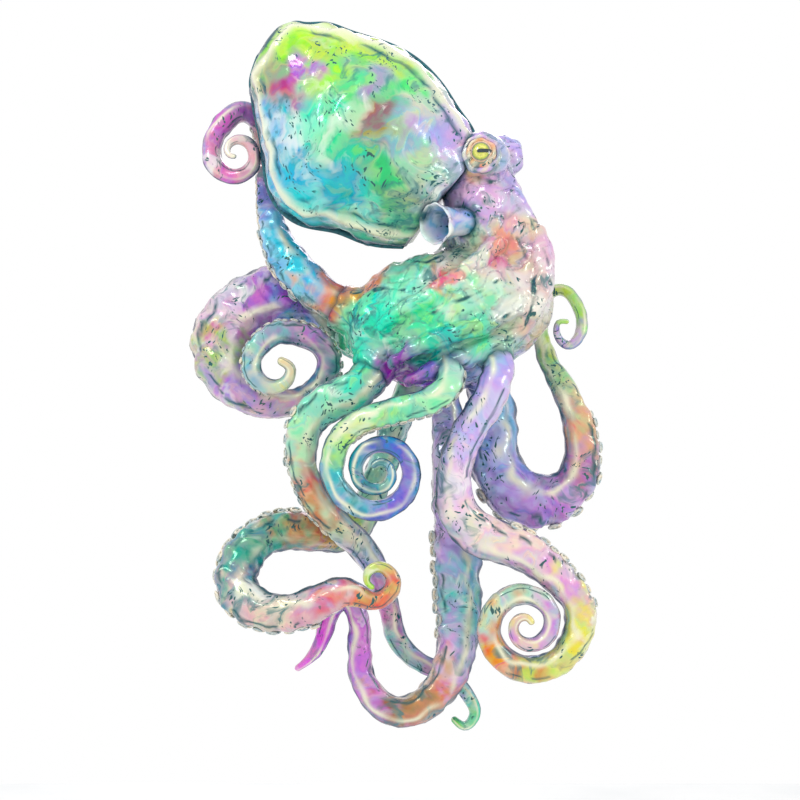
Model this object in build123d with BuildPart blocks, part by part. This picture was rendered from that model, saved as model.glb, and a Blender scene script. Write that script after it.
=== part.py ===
"""Octopus show kite: an air-filled octopus of film, on a light inner frame, flown from a tow eye.

Millimetres, +Z up, +X to the kite's own left as it faces the viewer, +Y away from the viewer.
The origin is the centre of the tow eye, behind the crown. Depths are given from the kite's middle plane,
the front being negative.
"""

import os
from math import cos, radians, sin

from build123d import *

os.makedirs("parts", exist_ok=True)

# ---------------------------------------------------------------- driving sizes
film_wall = 3.0  # padded film of the mantle, head and crown
seam_width = 7.0  # flange where the mantle's two panels are welded
seam_thickness = 3.0
seam_vent_radius = 1.5  # relief hole where the crown's weld seam meets each end

crown_half_length = 216.0  # the crown that the arms grow from, an egg lying on its side
crown_radius = 135.0
crown_tilt = 12.0  # degrees, its left end lower than its right end
route_half_length = 216.0  # the arm routes are laid out round a crown of this size,
route_radius = 135.0  # and each moves with its root when the crown's own size changes

head_half_length = 150.0
head_radius = 82.0
head_centre = (84.0, 200.0)  # x, z
head_tilt = -69.0

mantle_apex = (-372.0, 554.0)  # x, z
mantle_slope = -38.2  # degrees, from the apex down to the neck
mantle_depth_share = 0.84  # depth of the mantle's section over its width
mantle_sections = [  # distance from the apex, sideways shift of the centre, half-width
    (6.0, 4.0, 30.0),
    (18.0, 0.0, 60.0),
    (38.0, -6.0, 82.0),
    (68.0, -8.0, 108.0),
    (116.0, -18.0, 138.0),
    (186.0, -38.0, 184.0),
    (250.0, -42.0, 203.0),
    (300.0, -38.0, 198.0),
    (354.0, -30.0, 178.0),
    (400.0, -31.0, 163.0),
    (440.0, -28.0, 148.0),
    (480.0, -26.0, 122.0),
]

eye_radius = 27.0
eye_proud = 15.0  # how far the eyeball stands out of its mound
near_mound = (70.0, -46.0, 312.0, 54.0)  # x, depth, z, radius
far_mound = (112.0, 34.0, 322.0, 47.0)
pupil_length = 30.0
pupil_width = 7.0
pupil_thickness = 1.2
lid_wire = 5.0

siphon_mouth_radius = 40.0
siphon_throat_radius = 27.0
siphon_length = 92.0
siphon_wall = 3.0

tow_eye_bore = 6.0  # radius
tow_eye_rim = 8.0  # metal round the bore
tow_tongue_thickness = 6.0
tow_standoff = 24.0  # from the crown's back to the eye's centre
tow_base_radius = 34.0
tow_base_thickness = 6.0
tow_bolt_radius = 2.5
tow_bolt_circle = 24.0
tow_bolt_head_thickness = 2.0
tow_bolt_head_share = 1.8  # bolt head's radius over the bolt's
tow_bolt_grip = 30.0  # how far the bolts reach in from the crown's back
tow_seat = 8.0  # the plate's block starts this far inside the crown's round back

spar_radius = 4.0
spar_clearance = 0.2
frame_depth = 34.0  # the spars lie this far behind the middle plane
elbow_place = (18.0, 232.0)  # x, z
elbow_radius = 11.0
hub_radius = 42.0
hoop_station = 250.0
hoop_radius = 150.0
hoop_wire = 4.0
hoop_sleeve_wall = 4.0
hoop_sleeve_length = 16.0
hub_core_half = 14.0  # the hub is solid this far each side of the spars
hub_back_wall = 26.0  # the hub's plate under the tow plate
end_cap_wall = 3.0
end_cap_grip = 14.0  # how far the cap reaches over the spar
end_cap_length = 18.0

valve_radius = 16.0
valve_bore = 6.0
valve_height = 16.0
valve_place = (-150.0, 320.0)  # x, z, on the mantle's back
flap_radius = 12.0
flap_thickness = 1.5
valve_sink = 40.0  # the valve's stem is cut from a rod this long, trimmed by the film
valve_mantle_half_width = 190.0  # the mantle's half-width where the valve sits

pin_radius = 3.0
pin_clearance = 0.05
pin_head_radius = 5.0
pin_head_thickness = 2.0
ear_thickness = 4.0
ear_half_width = 8.0
ear_gap = 6.0
tongue_clearance = 0.4
hinge_standoff = 16.0  # from the crown's film to the hinge pin
root_standoff = 20.0  # from the hinge pin to the arm's flat root
lug_base_radius = 19.0
lug_base_thickness = 5.0
anchor_thickness = 4.0
collar_thickness = 5.0
collar_share = 0.8  # collar's radius over the arm's at its root
screw_radius = 1.8
screw_spread = 13.0
screw_head_radius = 3.2
screw_head_thickness = 2.0
punch_depth = 60.0  # the film is punched for the screws along this length

sucker_share = 0.34  # sucker's radius over the arm's where it sits
sucker_height = 6.0
sucker_pitch = 1.15  # sucker spacing over the arm's radius

beyond_all = 2000.0  # longer than the kite, for cuts that go right through

# ---------------------------------------------------------------- places
reach = crown_radius + tow_standoff  # from the middle plane to the tow eye
long_axis = Vector(cos(radians(crown_tilt)), 0, sin(radians(crown_tilt)))
under = Vector(sin(radians(crown_tilt)), 0, -cos(radians(crown_tilt)))
forward = Vector(0, -1, 0)


def at(x, depth, z):
    """A point given by its depth from the kite's middle plane."""
    return Vector(x, depth - reach, z)


def heading(angle):
    """A unit direction in the middle plane, counted from +X towards +Z."""
    return Vector(cos(radians(angle)), 0, sin(radians(angle)))


crown_centre = at(0, 0, 0)
head_middle = at(head_centre[0], 0, head_centre[1])
mantle_top = at(mantle_apex[0], 0, mantle_apex[1])
mantle_run = heading(mantle_slope)
mantle_side = heading(mantle_slope + 90)
middle_plane = Plane(origin=at(0, 0, 0), x_dir=(1, 0, 0), z_dir=(0, -1, 0))


# ---------------------------------------------------------------- film bodies
def egg(centre, axis, half_length, radius):
    """A closed egg, revolved about its own long axis."""
    frame = Plane(origin=centre, x_dir=axis, z_dir=(0, 1, 0))
    with BuildPart() as body:
        with BuildSketch(frame):
            Ellipse(half_length, radius)
            with Locations((0, -radius)):
                Rectangle(2 * half_length + 2, 2 * radius, mode=Mode.SUBTRACT)
        revolve(axis=Axis(centre, axis), revolution_arc=360)
    return body.part


def mantle_body(inset):
    """The mantle, lofted through its sections; inset makes it smaller all round."""
    first, last = mantle_sections[0][0], mantle_sections[-1][0]
    with BuildPart() as body:
        for distance, shift, half_width in mantle_sections:
            station = min(max(distance, first + inset), last - inset)
            centre = mantle_top + mantle_run * station + mantle_side * shift
            with BuildSketch(Plane(origin=centre, x_dir=mantle_side, z_dir=mantle_run)):
                Ellipse(half_width - inset, half_width * mantle_depth_share - inset)
        loft()
    return body.part


crown_outer = egg(crown_centre, long_axis, crown_half_length, crown_radius)
crown_inner = egg(crown_centre, long_axis, crown_half_length - film_wall, crown_radius - film_wall)
head_axis = heading(head_tilt)
head_outer = egg(head_middle, head_axis, head_half_length, head_radius)
head_inner = egg(head_middle, head_axis, head_half_length - film_wall, head_radius - film_wall)
mantle_outer = mantle_body(0)
mantle_inner = mantle_body(film_wall)


# ---------------------------------------------------------------- arms: roots and routes
def crown_place(along, around, half_length, radius):
    """Offset from the crown's centre to its film, angles in degrees: around 0 is under it, 90 its front."""
    ring = under * cos(radians(around)) + forward * sin(radians(around))
    return long_axis * (half_length * sin(radians(along))) + ring * (radius * cos(radians(along)))


def crown_point(along, around):
    """Point and outward normal on the crown."""
    ring = under * cos(radians(around)) + forward * sin(radians(around))
    place = crown_place(along, around, crown_half_length, crown_radius)
    normal = long_axis * (sin(radians(along)) / crown_half_length)
    normal += ring * (cos(radians(along)) / crown_radius)
    return crown_centre + place, normal.normalized()


def coil(centre, start, sweep, wide, narrow, depth, thick, thin, steps=14, ease=0.8):
    """Stations of a flat spiral: centre, start angle, sweep, radii, depths at both ends, arm radii."""
    stations = []
    for step in range(1, steps + 1):
        share = step / steps
        angle = radians(start + sweep * share)
        radius = wide + (narrow - wide) * share**ease
        girth = thick + (thin - thick) * share
        sink = depth[0] + (depth[1] - depth[0]) * share
        stations.append((centre[0] + radius * cos(angle), sink, centre[1] + radius * sin(angle), girth))
    return stations


# Each arm: its place on the crown, the radius of its root, its stations (x, depth, z, radius), the hinge's
# wanted axis, its travel in degrees, and the side and the stretch of the arm that the suckers take.
arms = {
    "arm_1": {
        "root": (-65, 180),
        "rings": 30,
        "girth": 40,
        "stations": [
            (-286, 2, 70, 41),
            (-328, 24, 120, 37),
            (-356, 58, 180, 29),
            (-370, 86, 240, 22),
            (-374, 98, 300, 19),
            (-374, 94, 352, 19),
            (-384, 80, 398, 21),
            (-412, 62, 420, 23),
            (-446, 46, 406, 23),
        ]
        + coil((-426, 330), 122, 490, 64, 11, (40, -26), 22, 4, 15, 0.8),
        "axis": (0, -1, 0),
        "travel": (0, 2.5),
        "side": 1,
        "suckers": (0.16, 0.56),
    },
    "arm_2": {
        "root": (-58, -100),
        "rings": 46,
        "girth": 46,
        "stations": [
            (-240, 108, 10, 48),
            (-288, 106, 40, 54),
            (-350, 94, 46, 62),
            (-416, 80, 18, 65),
            (-462, 66, -40, 65),
            (-456, 54, -104, 58),
            (-416, 44, -154, 44),
            (-356, 38, -176, 33),
            (-294, 36, -170, 28),
            (-248, 34, -126, 26),
            (-246, 26, -74, 26),
            (-288, 10, -38, 25),
            (-340, -6, -34, 24),
            (-382, -20, -62, 22),
            (-394, -30, -106, 20),
            (-368, -38, -140, 17),
            (-328, -42, -138, 14),
            (-314, -46, -108, 11),
            (-332, -48, -92, 8),
        ],
        "axis": (0, 0, -1),
        "travel": (0, 8),
        "side": -1,
        "suckers": (0.62, 0.92),
    },
    "arm_3": {
        "root": (-50, 35),
        "rings": 42,
        "girth": 38,
        "stations": [
            (-204, -80, -160, 40),
            (-256, -78, -186, 38),
            (-290, -72, -246, 34),
            (-286, -64, -316, 28),
            (-256, -50, -380, 28),
            (-208, -26, -434, 30),
            (-164, 4, -482, 28),
            (-134, 24, -540, 24),
            (-116, 34, -608, 22),
            (-100, 40, -664, 22),
            (-66, 44, -700, 20),
            (-20, 46, -726, 19),
            (22, 44, -752, 17),
            (48, 38, -782, 14),
            (56, 32, -812, 12),
            (38, 28, -834, 10),
            (16, 26, -822, 7),
        ],
        "axis": (0, 1, 0),
        "travel": (0, 6),
        "side": -1,
        "suckers": (0.22, 0.44),
    },
    "arm_4": {
        "root": (-5, 48),
        "rings": 56,
        "girth": 27,
        "stations": [(-4, -146, -142, 27), (-34, -156, -170, 27)]
        + coil((-138, -308), 58, 780, 122, 15, (-158, -172), 27, 7, 22, 0.62),
        "axis": (-1, 0, 0),
        "travel": (0, 12),
        "side": 1,
        "suckers": (0.1, 0.36),
    },
    "arm_5": {
        "root": (12, -25),
        "rings": 46,
        "girth": 44,
        "stations": [
            (92, 70, -186, 50),
            (92, 56, -240, 52),
            (104, 46, -310, 54),
            (144, 40, -366, 57),
            (204, 32, -374, 55),
            (258, 20, -340, 42),
            (274, 12, -272, 36),
            (258, 14, -194, 30),
            (230, 30, -132, 25),
            (204, 56, -76, 20),
            (194, 76, -14, 16),
            (206, 78, 42, 14),
            (238, 62, 56, 13),
            (268, 40, 20, 13),
            (272, 20, -30, 12),
            (248, 8, -58, 10),
            (224, 0, -42, 8),
            (224, -4, -14, 6),
            (240, -6, -12, 5),
        ],
        "axis": (-1, 0, 0),
        "travel": (0, 5),
        "side": -1,
        "suckers": (0.26, 0.54),
    },
    "arm_6": {
        "root": (18, 42),
        "rings": 64,
        "girth": 32,
        "stations": [
            (90, -132, -142, 33),
            (64, -132, -192, 34),
            (30, -122, -250, 34),
            (12, -112, -316, 35),
            (16, -102, -382, 40),
            (58, -98, -430, 44),
            (136, -98, -464, 42),
            (204, -100, -508, 36),
        ]
        + coil((152, -610), 50, -720, 122, 12, (-102, -140), 33, 6, 20, 0.72),
        "axis": (-1, 0, 0),
        "travel": (0, 10),
        "side": 1,
        "suckers": (0.38, 0.52),
    },
    "arm_7": {
        "root": (-10, -12),
        "rings": 46,
        "girth": 33,
        "stations": [
            (0, 34, -210, 34),
            (4, 24, -270, 36),
            (6, 16, -340, 40),
            (14, 10, -410, 45),
            (18, 4, -490, 48),
            (22, -6, -570, 46),
            (20, -18, -650, 42),
            (-2, -28, -726, 38),
            (-46, -34, -776, 35),
            (-100, -38, -792, 32),
            (-148, -40, -764, 28),
            (-174, -40, -710, 26),
            (-176, -40, -650, 24),
            (-182, -40, -596, 22),
            (-206, -40, -568, 20),
            (-232, -40, -588, 21),
            (-250, -40, -640, 17),
            (-270, -40, -680, 12),
            (-300, -38, -706, 6),
        ],
        "axis": (0, 1, 0),
        "travel": (0, 5),
        "side": -1,
        "suckers": (0.3, 0.48),
    },
    "arm_8": {
        "root": (-22, -50),
        "rings": 56,
        "girth": 31,
        "stations": [
            (-86, 128, -170, 32),
            (-120, 116, -262, 32),
            (-152, 100, -360, 32),
            (-190, 78, -430, 34),
            (-242, 54, -446, 38),
            (-306, 24, -434, 40),
            (-372, -10, -446, 40),
            (-414, -46, -490, 42),
            (-418, -76, -542, 42),
            (-378, -98, -580, 38),
            (-316, -112, -586, 37),
            (-252, -122, -566, 37),
            (-204, -130, -546, 30),
        ]
        + coil((-142, -520), 214, 380, 46, 15, (-136, -150), 22, 5, 11, 0.9),
        "axis": (0, 1, 0),
        "travel": (0, 5),
        "side": -1,
        "suckers": (0.46, 0.76),
    },
}


def arm_frame(name):
    """Hinge frame of an arm: origin on the pin, z away from the crown, x along the pin."""
    spot, normal = crown_point(*arms[name]["root"])
    wanted = Vector(*arms[name]["axis"])
    pin_line = (wanted - normal * wanted.dot(normal)).normalized()
    return Plane(origin=spot + normal * hinge_standoff, x_dir=pin_line, z_dir=normal)


def arm_stations(name):
    """The arm's centreline points and radii, from its flat root to its tip."""
    root = arm_frame(name)
    points = [root.origin + root.z_dir * root_standoff]
    girths = [arms[name]["girth"]]
    shift = crown_place(*arms[name]["root"], crown_half_length, crown_radius)
    shift -= crown_place(*arms[name]["root"], route_half_length, route_radius)
    for x, depth, z, girth in arms[name]["stations"]:
        points.append(at(x, depth, z) + shift)
        girths.append(girth)
    return points, girths


def arm_curve(name):
    """The arm's smooth centreline, leaving its root square to the crown."""
    points, girths = arm_stations(name)
    with BuildLine() as line:
        Spline(*points, tangents=(arm_frame(name).z_dir, points[-1] - points[-2]))
    return line.edges()[0]


def girth_at(name, share):
    """The arm's radius at a share of its length."""
    points, girths = arm_stations(name)
    runs = [0.0]
    for start, end in zip(points, points[1:]):
        runs.append(runs[-1] + (end - start).length)
    place = share * runs[-1]
    for index in range(len(runs) - 1):
        if place <= runs[index + 1]:
            part = (place - runs[index]) / (runs[index + 1] - runs[index])
            return girths[index] + (girths[index + 1] - girths[index]) * part
    return girths[-1]


def section_plane(curve, share):
    """A plane square to the curve, with its x in the kite's own plane."""
    tangent = curve.tangent_at(share)
    across = tangent.cross(Vector(0, 1, 0)).normalized()
    return Plane(origin=curve.position_at(share), x_dir=across, z_dir=tangent)


def arm_skin(name):
    """The arm's closed film tube, with a flat root and a small rounded-off tip."""
    curve = arm_curve(name)
    sections = arms[name]["rings"]
    with BuildPart() as skin:
        for index in range(sections + 1):
            share = index / sections
            with BuildSketch(section_plane(curve, share)):
                Circle(girth_at(name, share))
        loft(ruled=True)
    return skin.part


def arm_suckers(name, skin):
    """Sucker cups welded along one side of the arm, each cut to sit on the film."""
    curve = arm_curve(name)
    start, end = arms[name]["suckers"]
    length = curve.length
    share = start
    with BuildPart() as cups:
        while share < end:
            girth = girth_at(name, share)
            plane = section_plane(curve, share)
            outward = plane.x_dir * arms[name]["side"]
            seat = plane.origin + outward * (girth - sucker_height)
            with BuildSketch(Plane(origin=seat, x_dir=plane.z_dir, z_dir=outward)):
                Circle(girth * sucker_share)
            extrude(amount=2 * sucker_height)
            share += girth * sucker_pitch / length
        add(skin, mode=Mode.SUBTRACT)
    return cups.part


def arm_collar(name):
    """The arm's root plate with the tongue that turns on the hinge pin."""
    frame = arm_frame(name)
    radius = arms[name]["girth"] * collar_share
    half = ear_gap / 2 - tongue_clearance
    with BuildPart() as collar:
        with BuildSketch(frame.offset(root_standoff - collar_thickness)):
            Circle(radius)
        extrude(amount=collar_thickness)
        side = Plane(origin=frame.origin - frame.x_dir * half, x_dir=frame.z_dir, z_dir=frame.x_dir)
        with BuildSketch(side):
            Circle(ear_half_width - 1)
            with Locations(((root_standoff - collar_thickness / 2) / 2, 0)):
                Rectangle(root_standoff - collar_thickness / 2, 2 * (ear_half_width - 1))
        extrude(amount=2 * half)
        with BuildSketch(side):
            Circle(pin_radius + pin_clearance)
        extrude(amount=2 * half, mode=Mode.SUBTRACT)
    return collar.part


def lug_screw_places(frame):
    """The two screw axes of a lug, on the crown's side of the hinge."""
    return [frame.origin + frame.y_dir * spread for spread in (-screw_spread, screw_spread)]


def arm_lug(name):
    """The clevis that carries the arm's hinge pin, its foot shaped to the crown."""
    frame = arm_frame(name)
    foot = frame.offset(-hinge_standoff - lug_base_thickness)
    with BuildPart() as lug:
        with BuildSketch(foot):
            Circle(lug_base_radius)
        extrude(amount=2 * lug_base_thickness)
        for sign in (-1, 1):
            edge = sign * ear_gap / 2 if sign > 0 else -ear_gap / 2 - ear_thickness
            side = Plane(origin=frame.origin + frame.x_dir * edge, x_dir=frame.z_dir, z_dir=frame.x_dir)
            with BuildSketch(side):
                Circle(ear_half_width)
                with Locations((-hinge_standoff / 2, 0)):
                    Rectangle(hinge_standoff, 2 * ear_half_width)
                Circle(pin_radius, mode=Mode.SUBTRACT)
            extrude(amount=ear_thickness)
        for spot in lug_screw_places(frame):
            start = spot - frame.z_dir * 2 * hinge_standoff
            drill = Plane(origin=start, x_dir=frame.x_dir, z_dir=frame.z_dir)
            with BuildSketch(drill):
                Circle(screw_radius)
            extrude(amount=2 * hinge_standoff, mode=Mode.SUBTRACT)
        add(crown_outer, mode=Mode.SUBTRACT)
    return lug.part


def hinge_pin(name):
    """Headed pin through both ears and the tongue."""
    frame = arm_frame(name)
    span = ear_gap / 2 + ear_thickness
    start = Plane(origin=frame.origin - frame.x_dir * span, x_dir=frame.z_dir, z_dir=frame.x_dir)
    with BuildPart() as pin:
        with BuildSketch(start):
            Circle(pin_radius)
        extrude(amount=2 * span)
        for offset in (-pin_head_thickness, 2 * span):
            with BuildSketch(start.offset(offset)):
                Circle(pin_head_radius)
            extrude(amount=pin_head_thickness)
    return pin.part


def anchor_plate(name):
    """Plate inside the crown's film that the lug's screws bite into."""
    frame = arm_frame(name)
    deep = hinge_standoff + film_wall + 4 * anchor_thickness
    with BuildPart() as plate:
        with BuildSketch(frame.offset(-deep)):
            Circle(lug_base_radius)
        extrude(amount=deep)
        add(crown_inner, mode=Mode.INTERSECT)
        for spot in lug_screw_places(frame):
            drill = Plane(origin=spot - frame.z_dir * deep, x_dir=frame.x_dir, z_dir=frame.z_dir)
            with BuildSketch(drill):
                Circle(screw_radius)
            extrude(amount=deep, mode=Mode.SUBTRACT)
    return plate.part


def screw(frame, spot):
    """Round-headed screw from the lug's foot into the anchor plate."""
    top = spot - frame.z_dir * (hinge_standoff - lug_base_thickness)
    tip = hinge_standoff + film_wall + 3 * anchor_thickness
    start = Plane(origin=spot - frame.z_dir * tip, x_dir=frame.x_dir, z_dir=frame.z_dir)
    with BuildPart() as body:
        with BuildSketch(start):
            Circle(screw_radius)
        extrude(amount=(top - start.origin).length)
        with BuildSketch(Plane(origin=top, x_dir=frame.x_dir, z_dir=frame.z_dir)):
            Circle(screw_head_radius)
        extrude(amount=screw_head_thickness)
    return body.part


# ---------------------------------------------------------------- inner frame
def rod(start, end, radius):
    """Straight round rod between two points."""
    run = end - start
    with BuildPart() as body:
        with BuildSketch(Plane(origin=start, z_dir=run)):
            Circle(radius)
        extrude(amount=run.length)
    return body.part


hub_middle = at(0, frame_depth, 0)
elbow_middle = at(elbow_place[0], frame_depth, elbow_place[1])
spar_tip = mantle_top + mantle_run * 48 + Vector(0, frame_depth, 0)
neck_run = (elbow_middle - hub_middle).normalized()
mantle_climb = (spar_tip - elbow_middle).normalized()
neck_start = hub_middle + neck_run * (hub_radius - 12)
neck_end = elbow_middle - neck_run * (elbow_radius - 6)
climb_start = elbow_middle + mantle_climb * (elbow_radius - 6)

neck_hole = rod(neck_start, neck_end, spar_radius + spar_clearance)
climb_hole = rod(climb_start, spar_tip, spar_radius + spar_clearance)

with BuildPart() as neck_spar:
    add(rod(neck_start, neck_end, spar_radius))

with BuildPart() as mantle_spar:
    add(rod(climb_start, spar_tip, spar_radius))

with BuildPart() as spar_elbow:
    with Locations(elbow_middle):
        Sphere(elbow_radius)
    add([neck_hole, climb_hole], mode=Mode.SUBTRACT)

with BuildPart() as spar_end_cap:
    with BuildSketch(Plane(origin=spar_tip - mantle_climb * end_cap_grip, z_dir=mantle_climb)):
        Circle(spar_radius + end_cap_wall)
    extrude(amount=end_cap_length)
    add(climb_hole, mode=Mode.SUBTRACT)

with BuildPart() as crown_hub:
    with BuildSketch(Plane(origin=at(0, frame_depth - hub_core_half, 0), x_dir=(1, 0, 0), z_dir=(0, 1, 0))):
        Circle(hub_radius)
    extrude(amount=crown_radius)
    add(crown_inner, mode=Mode.INTERSECT)
    with BuildSketch(Plane(origin=at(0, frame_depth + hub_core_half, 0), x_dir=(1, 0, 0), z_dir=(0, 1, 0))):
        Circle(hub_radius)
        Circle(tow_bolt_circle + 6, mode=Mode.SUBTRACT)
    extrude(amount=crown_radius - frame_depth - hub_core_half - hub_back_wall, mode=Mode.SUBTRACT)
    add(neck_hole, mode=Mode.SUBTRACT)

hoop_middle = elbow_middle + mantle_climb * (
    (mantle_top + mantle_run * hoop_station - elbow_middle).dot(mantle_climb)
)
hoop_plane = Plane(origin=hoop_middle, x_dir=(0, 1, 0), z_dir=mantle_climb)
hoop_centre = hoop_plane.from_local_coords((-frame_depth, 0, 0))
with BuildPart() as mantle_hoop:
    with Locations(Plane(origin=hoop_centre, x_dir=(0, 1, 0), z_dir=mantle_climb)):
        Torus(hoop_radius, hoop_wire)
        with GridLocations(0, hoop_radius, 1, 2):
            Box(hoop_wire, hoop_radius, hoop_wire)
        Box(2 * frame_depth + 2 * hoop_wire, hoop_wire, hoop_wire)
    with BuildSketch(hoop_plane.offset(-hoop_sleeve_length / 2)):
        Circle(spar_radius + hoop_sleeve_wall)
    extrude(amount=hoop_sleeve_length)
    add(climb_hole, mode=Mode.SUBTRACT)

# ---------------------------------------------------------------- tow plate
bolt_plane = Plane(origin=at(0, crown_radius - tow_bolt_grip, 0), x_dir=(1, 0, 0), z_dir=(0, 1, 0))


def bolt_set(radius, length):
    """Four rods on the tow plate's bolt circle, starting inside the hub."""
    with BuildPart() as rods:
        with BuildSketch(bolt_plane):
            with PolarLocations(tow_bolt_circle, 4, start_angle=45):
                Circle(radius)
        extrude(amount=length)
    return rods.part


bolt_length = tow_bolt_grip + tow_base_thickness
bolt_holes = bolt_set(tow_bolt_radius, bolt_length)

with BuildPart() as tow_plate:
    with BuildSketch(Plane(origin=at(0, crown_radius - tow_seat, 0), x_dir=(1, 0, 0), z_dir=(0, 1, 0))):
        Circle(tow_base_radius)
    extrude(amount=tow_seat + tow_base_thickness)
    with BuildSketch(Plane(origin=(-tow_tongue_thickness / 2, 0, 0), x_dir=(0, 1, 0), z_dir=(1, 0, 0))):
        Circle(tow_eye_bore + tow_eye_rim)
        with Locations((-tow_standoff / 2, 0)):
            Rectangle(tow_standoff, 2 * (tow_eye_bore + tow_eye_rim))
    extrude(amount=tow_tongue_thickness)
    with BuildSketch(Plane(origin=(-tow_tongue_thickness / 2, 0, 0), x_dir=(0, 1, 0), z_dir=(1, 0, 0))):
        Circle(tow_eye_bore)
    extrude(amount=tow_tongue_thickness, mode=Mode.SUBTRACT)
    add(crown_outer, mode=Mode.SUBTRACT)
    add(bolt_holes, mode=Mode.SUBTRACT)

with BuildPart() as tow_bolts:
    add(bolt_holes)
    with BuildSketch(bolt_plane.offset(bolt_length)):
        with PolarLocations(tow_bolt_circle, 4, start_angle=45):
            Circle(tow_bolt_head_share * tow_bolt_radius)
    extrude(amount=tow_bolt_head_thickness)

with BuildPart() as hub_drilled:
    add(crown_hub.part)
    add(bolt_holes, mode=Mode.SUBTRACT)

# ---------------------------------------------------------------- eyes, lids and siphon
def mound_facts(mound, side):
    """Centre of a mound and of its eyeball; side is -1 for the front and 1 for the back."""
    centre = at(mound[0], mound[1], mound[2])
    look = Vector(-0.12, side, 0.1).normalized()
    return centre, look, centre + look * (mound[3] - eye_radius + eye_proud)


def eye_pieces(mound, side):
    """Mound, eyeball, lid ring and pupil of one eye."""
    centre, look, ball_centre = mound_facts(mound, side)
    with BuildPart() as ball:
        with Locations(ball_centre):
            Sphere(eye_radius)
    with BuildPart() as hill:
        with Locations(centre):
            Sphere(mound[3])
        add([head_outer, mantle_outer, ball.part], mode=Mode.SUBTRACT)
    tilt = Plane(origin=ball_centre, z_dir=look)
    with BuildPart() as lid:
        with Locations(tilt.offset(eye_radius * 0.42)):
            Torus(eye_radius * 0.95, lid_wire)
        add([ball.part, hill.part, head_outer, mantle_outer], mode=Mode.SUBTRACT)
    with BuildPart() as pupil:
        with Locations(ball_centre):
            Sphere(eye_radius + pupil_thickness)
        with BuildSketch(tilt.rotated((0, 0, 18))):
            SlotOverall(pupil_length, pupil_width)
        extrude(amount=2 * eye_radius, mode=Mode.INTERSECT)
        add(ball.part, mode=Mode.SUBTRACT)
    return hill.part, ball.part, lid.part, pupil.part


near_hill, near_ball, near_lid, near_pupil = eye_pieces(near_mound, -1)
far_hill, far_ball, far_lid, far_pupil = eye_pieces(far_mound, 1)
with BuildPart() as far_hill_trimmed:
    add(far_hill)
    with Locations(at(near_mound[0], near_mound[1], near_mound[2])):
        Sphere(near_mound[3], mode=Mode.SUBTRACT)

siphon_start = at(34, -52, 186)
siphon_aim = Vector(-0.66, -0.70, -0.12).normalized()
with BuildPart() as siphon:
    with BuildSketch(Plane(origin=siphon_start, z_dir=siphon_aim)):
        Circle(siphon_throat_radius)
    with BuildSketch(Plane(origin=siphon_start + siphon_aim * siphon_length, z_dir=siphon_aim)):
        Circle(siphon_mouth_radius)
    loft()
    with BuildSketch(Plane(origin=siphon_start, z_dir=siphon_aim)):
        Circle(siphon_throat_radius - siphon_wall)
    with BuildSketch(Plane(origin=siphon_start + siphon_aim * siphon_length, z_dir=siphon_aim)):
        Circle(siphon_mouth_radius - siphon_wall)
    loft(mode=Mode.SUBTRACT)
    add([head_outer, mantle_outer, crown_outer], mode=Mode.SUBTRACT)

# ---------------------------------------------------------------- panels
lug_screw_holes = []
for arm in arms:
    hinge = arm_frame(arm)
    for place in lug_screw_places(hinge):
        lug_screw_holes.append(rod(place, place - hinge.z_dir * punch_depth, screw_radius))
seam_vents = rod(
    crown_centre - long_axis * beyond_all, crown_centre + long_axis * beyond_all, seam_vent_radius
)


def panel(body, hollow, cuts, side):
    """Front (side 1) or back (side -1) half of a film body, hollowed and punched for its holes."""
    with BuildPart() as half:
        add(body)
        add(hollow, mode=Mode.SUBTRACT)
        with BuildSketch(middle_plane):
            Rectangle(beyond_all, beyond_all)
        extrude(amount=side * beyond_all, mode=Mode.INTERSECT)
        for cut in cuts:
            add(cut, mode=Mode.SUBTRACT)
    return half.part


valve_line = Plane(origin=at(valve_place[0], 0, valve_place[1]), x_dir=(1, 0, 0), z_dir=(0, 1, 0))
with BuildPart() as valve_hole:
    with BuildSketch(valve_line):
        Circle(valve_bore)
    extrude(amount=beyond_all)

mantle_edge = [
    (distance, shift, half_width + seam_width) for distance, shift, half_width in mantle_sections
]
with BuildPart() as mantle_rim:
    for distance, shift, half_width in mantle_edge:
        place = mantle_top + mantle_run * distance + mantle_side * shift
        with BuildSketch(Plane(origin=place, x_dir=mantle_side, z_dir=mantle_run)):
            Ellipse(half_width, half_width * mantle_depth_share)
    loft()
    with BuildSketch(Plane(origin=at(0, -seam_thickness / 2, 0), x_dir=(1, 0, 0), z_dir=(0, 1, 0))):
        Circle(beyond_all)
    extrude(amount=seam_thickness, mode=Mode.INTERSECT)
    add([mantle_outer, head_outer, crown_outer, near_hill, near_ball], mode=Mode.SUBTRACT)

valve_back = mantle_depth_share * valve_mantle_half_width
with BuildPart() as inflation_valve:
    with BuildSketch(valve_line.offset(valve_back - valve_sink)):
        Circle(valve_radius)
    extrude(amount=valve_sink + valve_height)
    add(mantle_outer, mode=Mode.SUBTRACT)
    with BuildSketch(valve_line):
        Circle(valve_bore)
    extrude(amount=beyond_all, mode=Mode.SUBTRACT)

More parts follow.
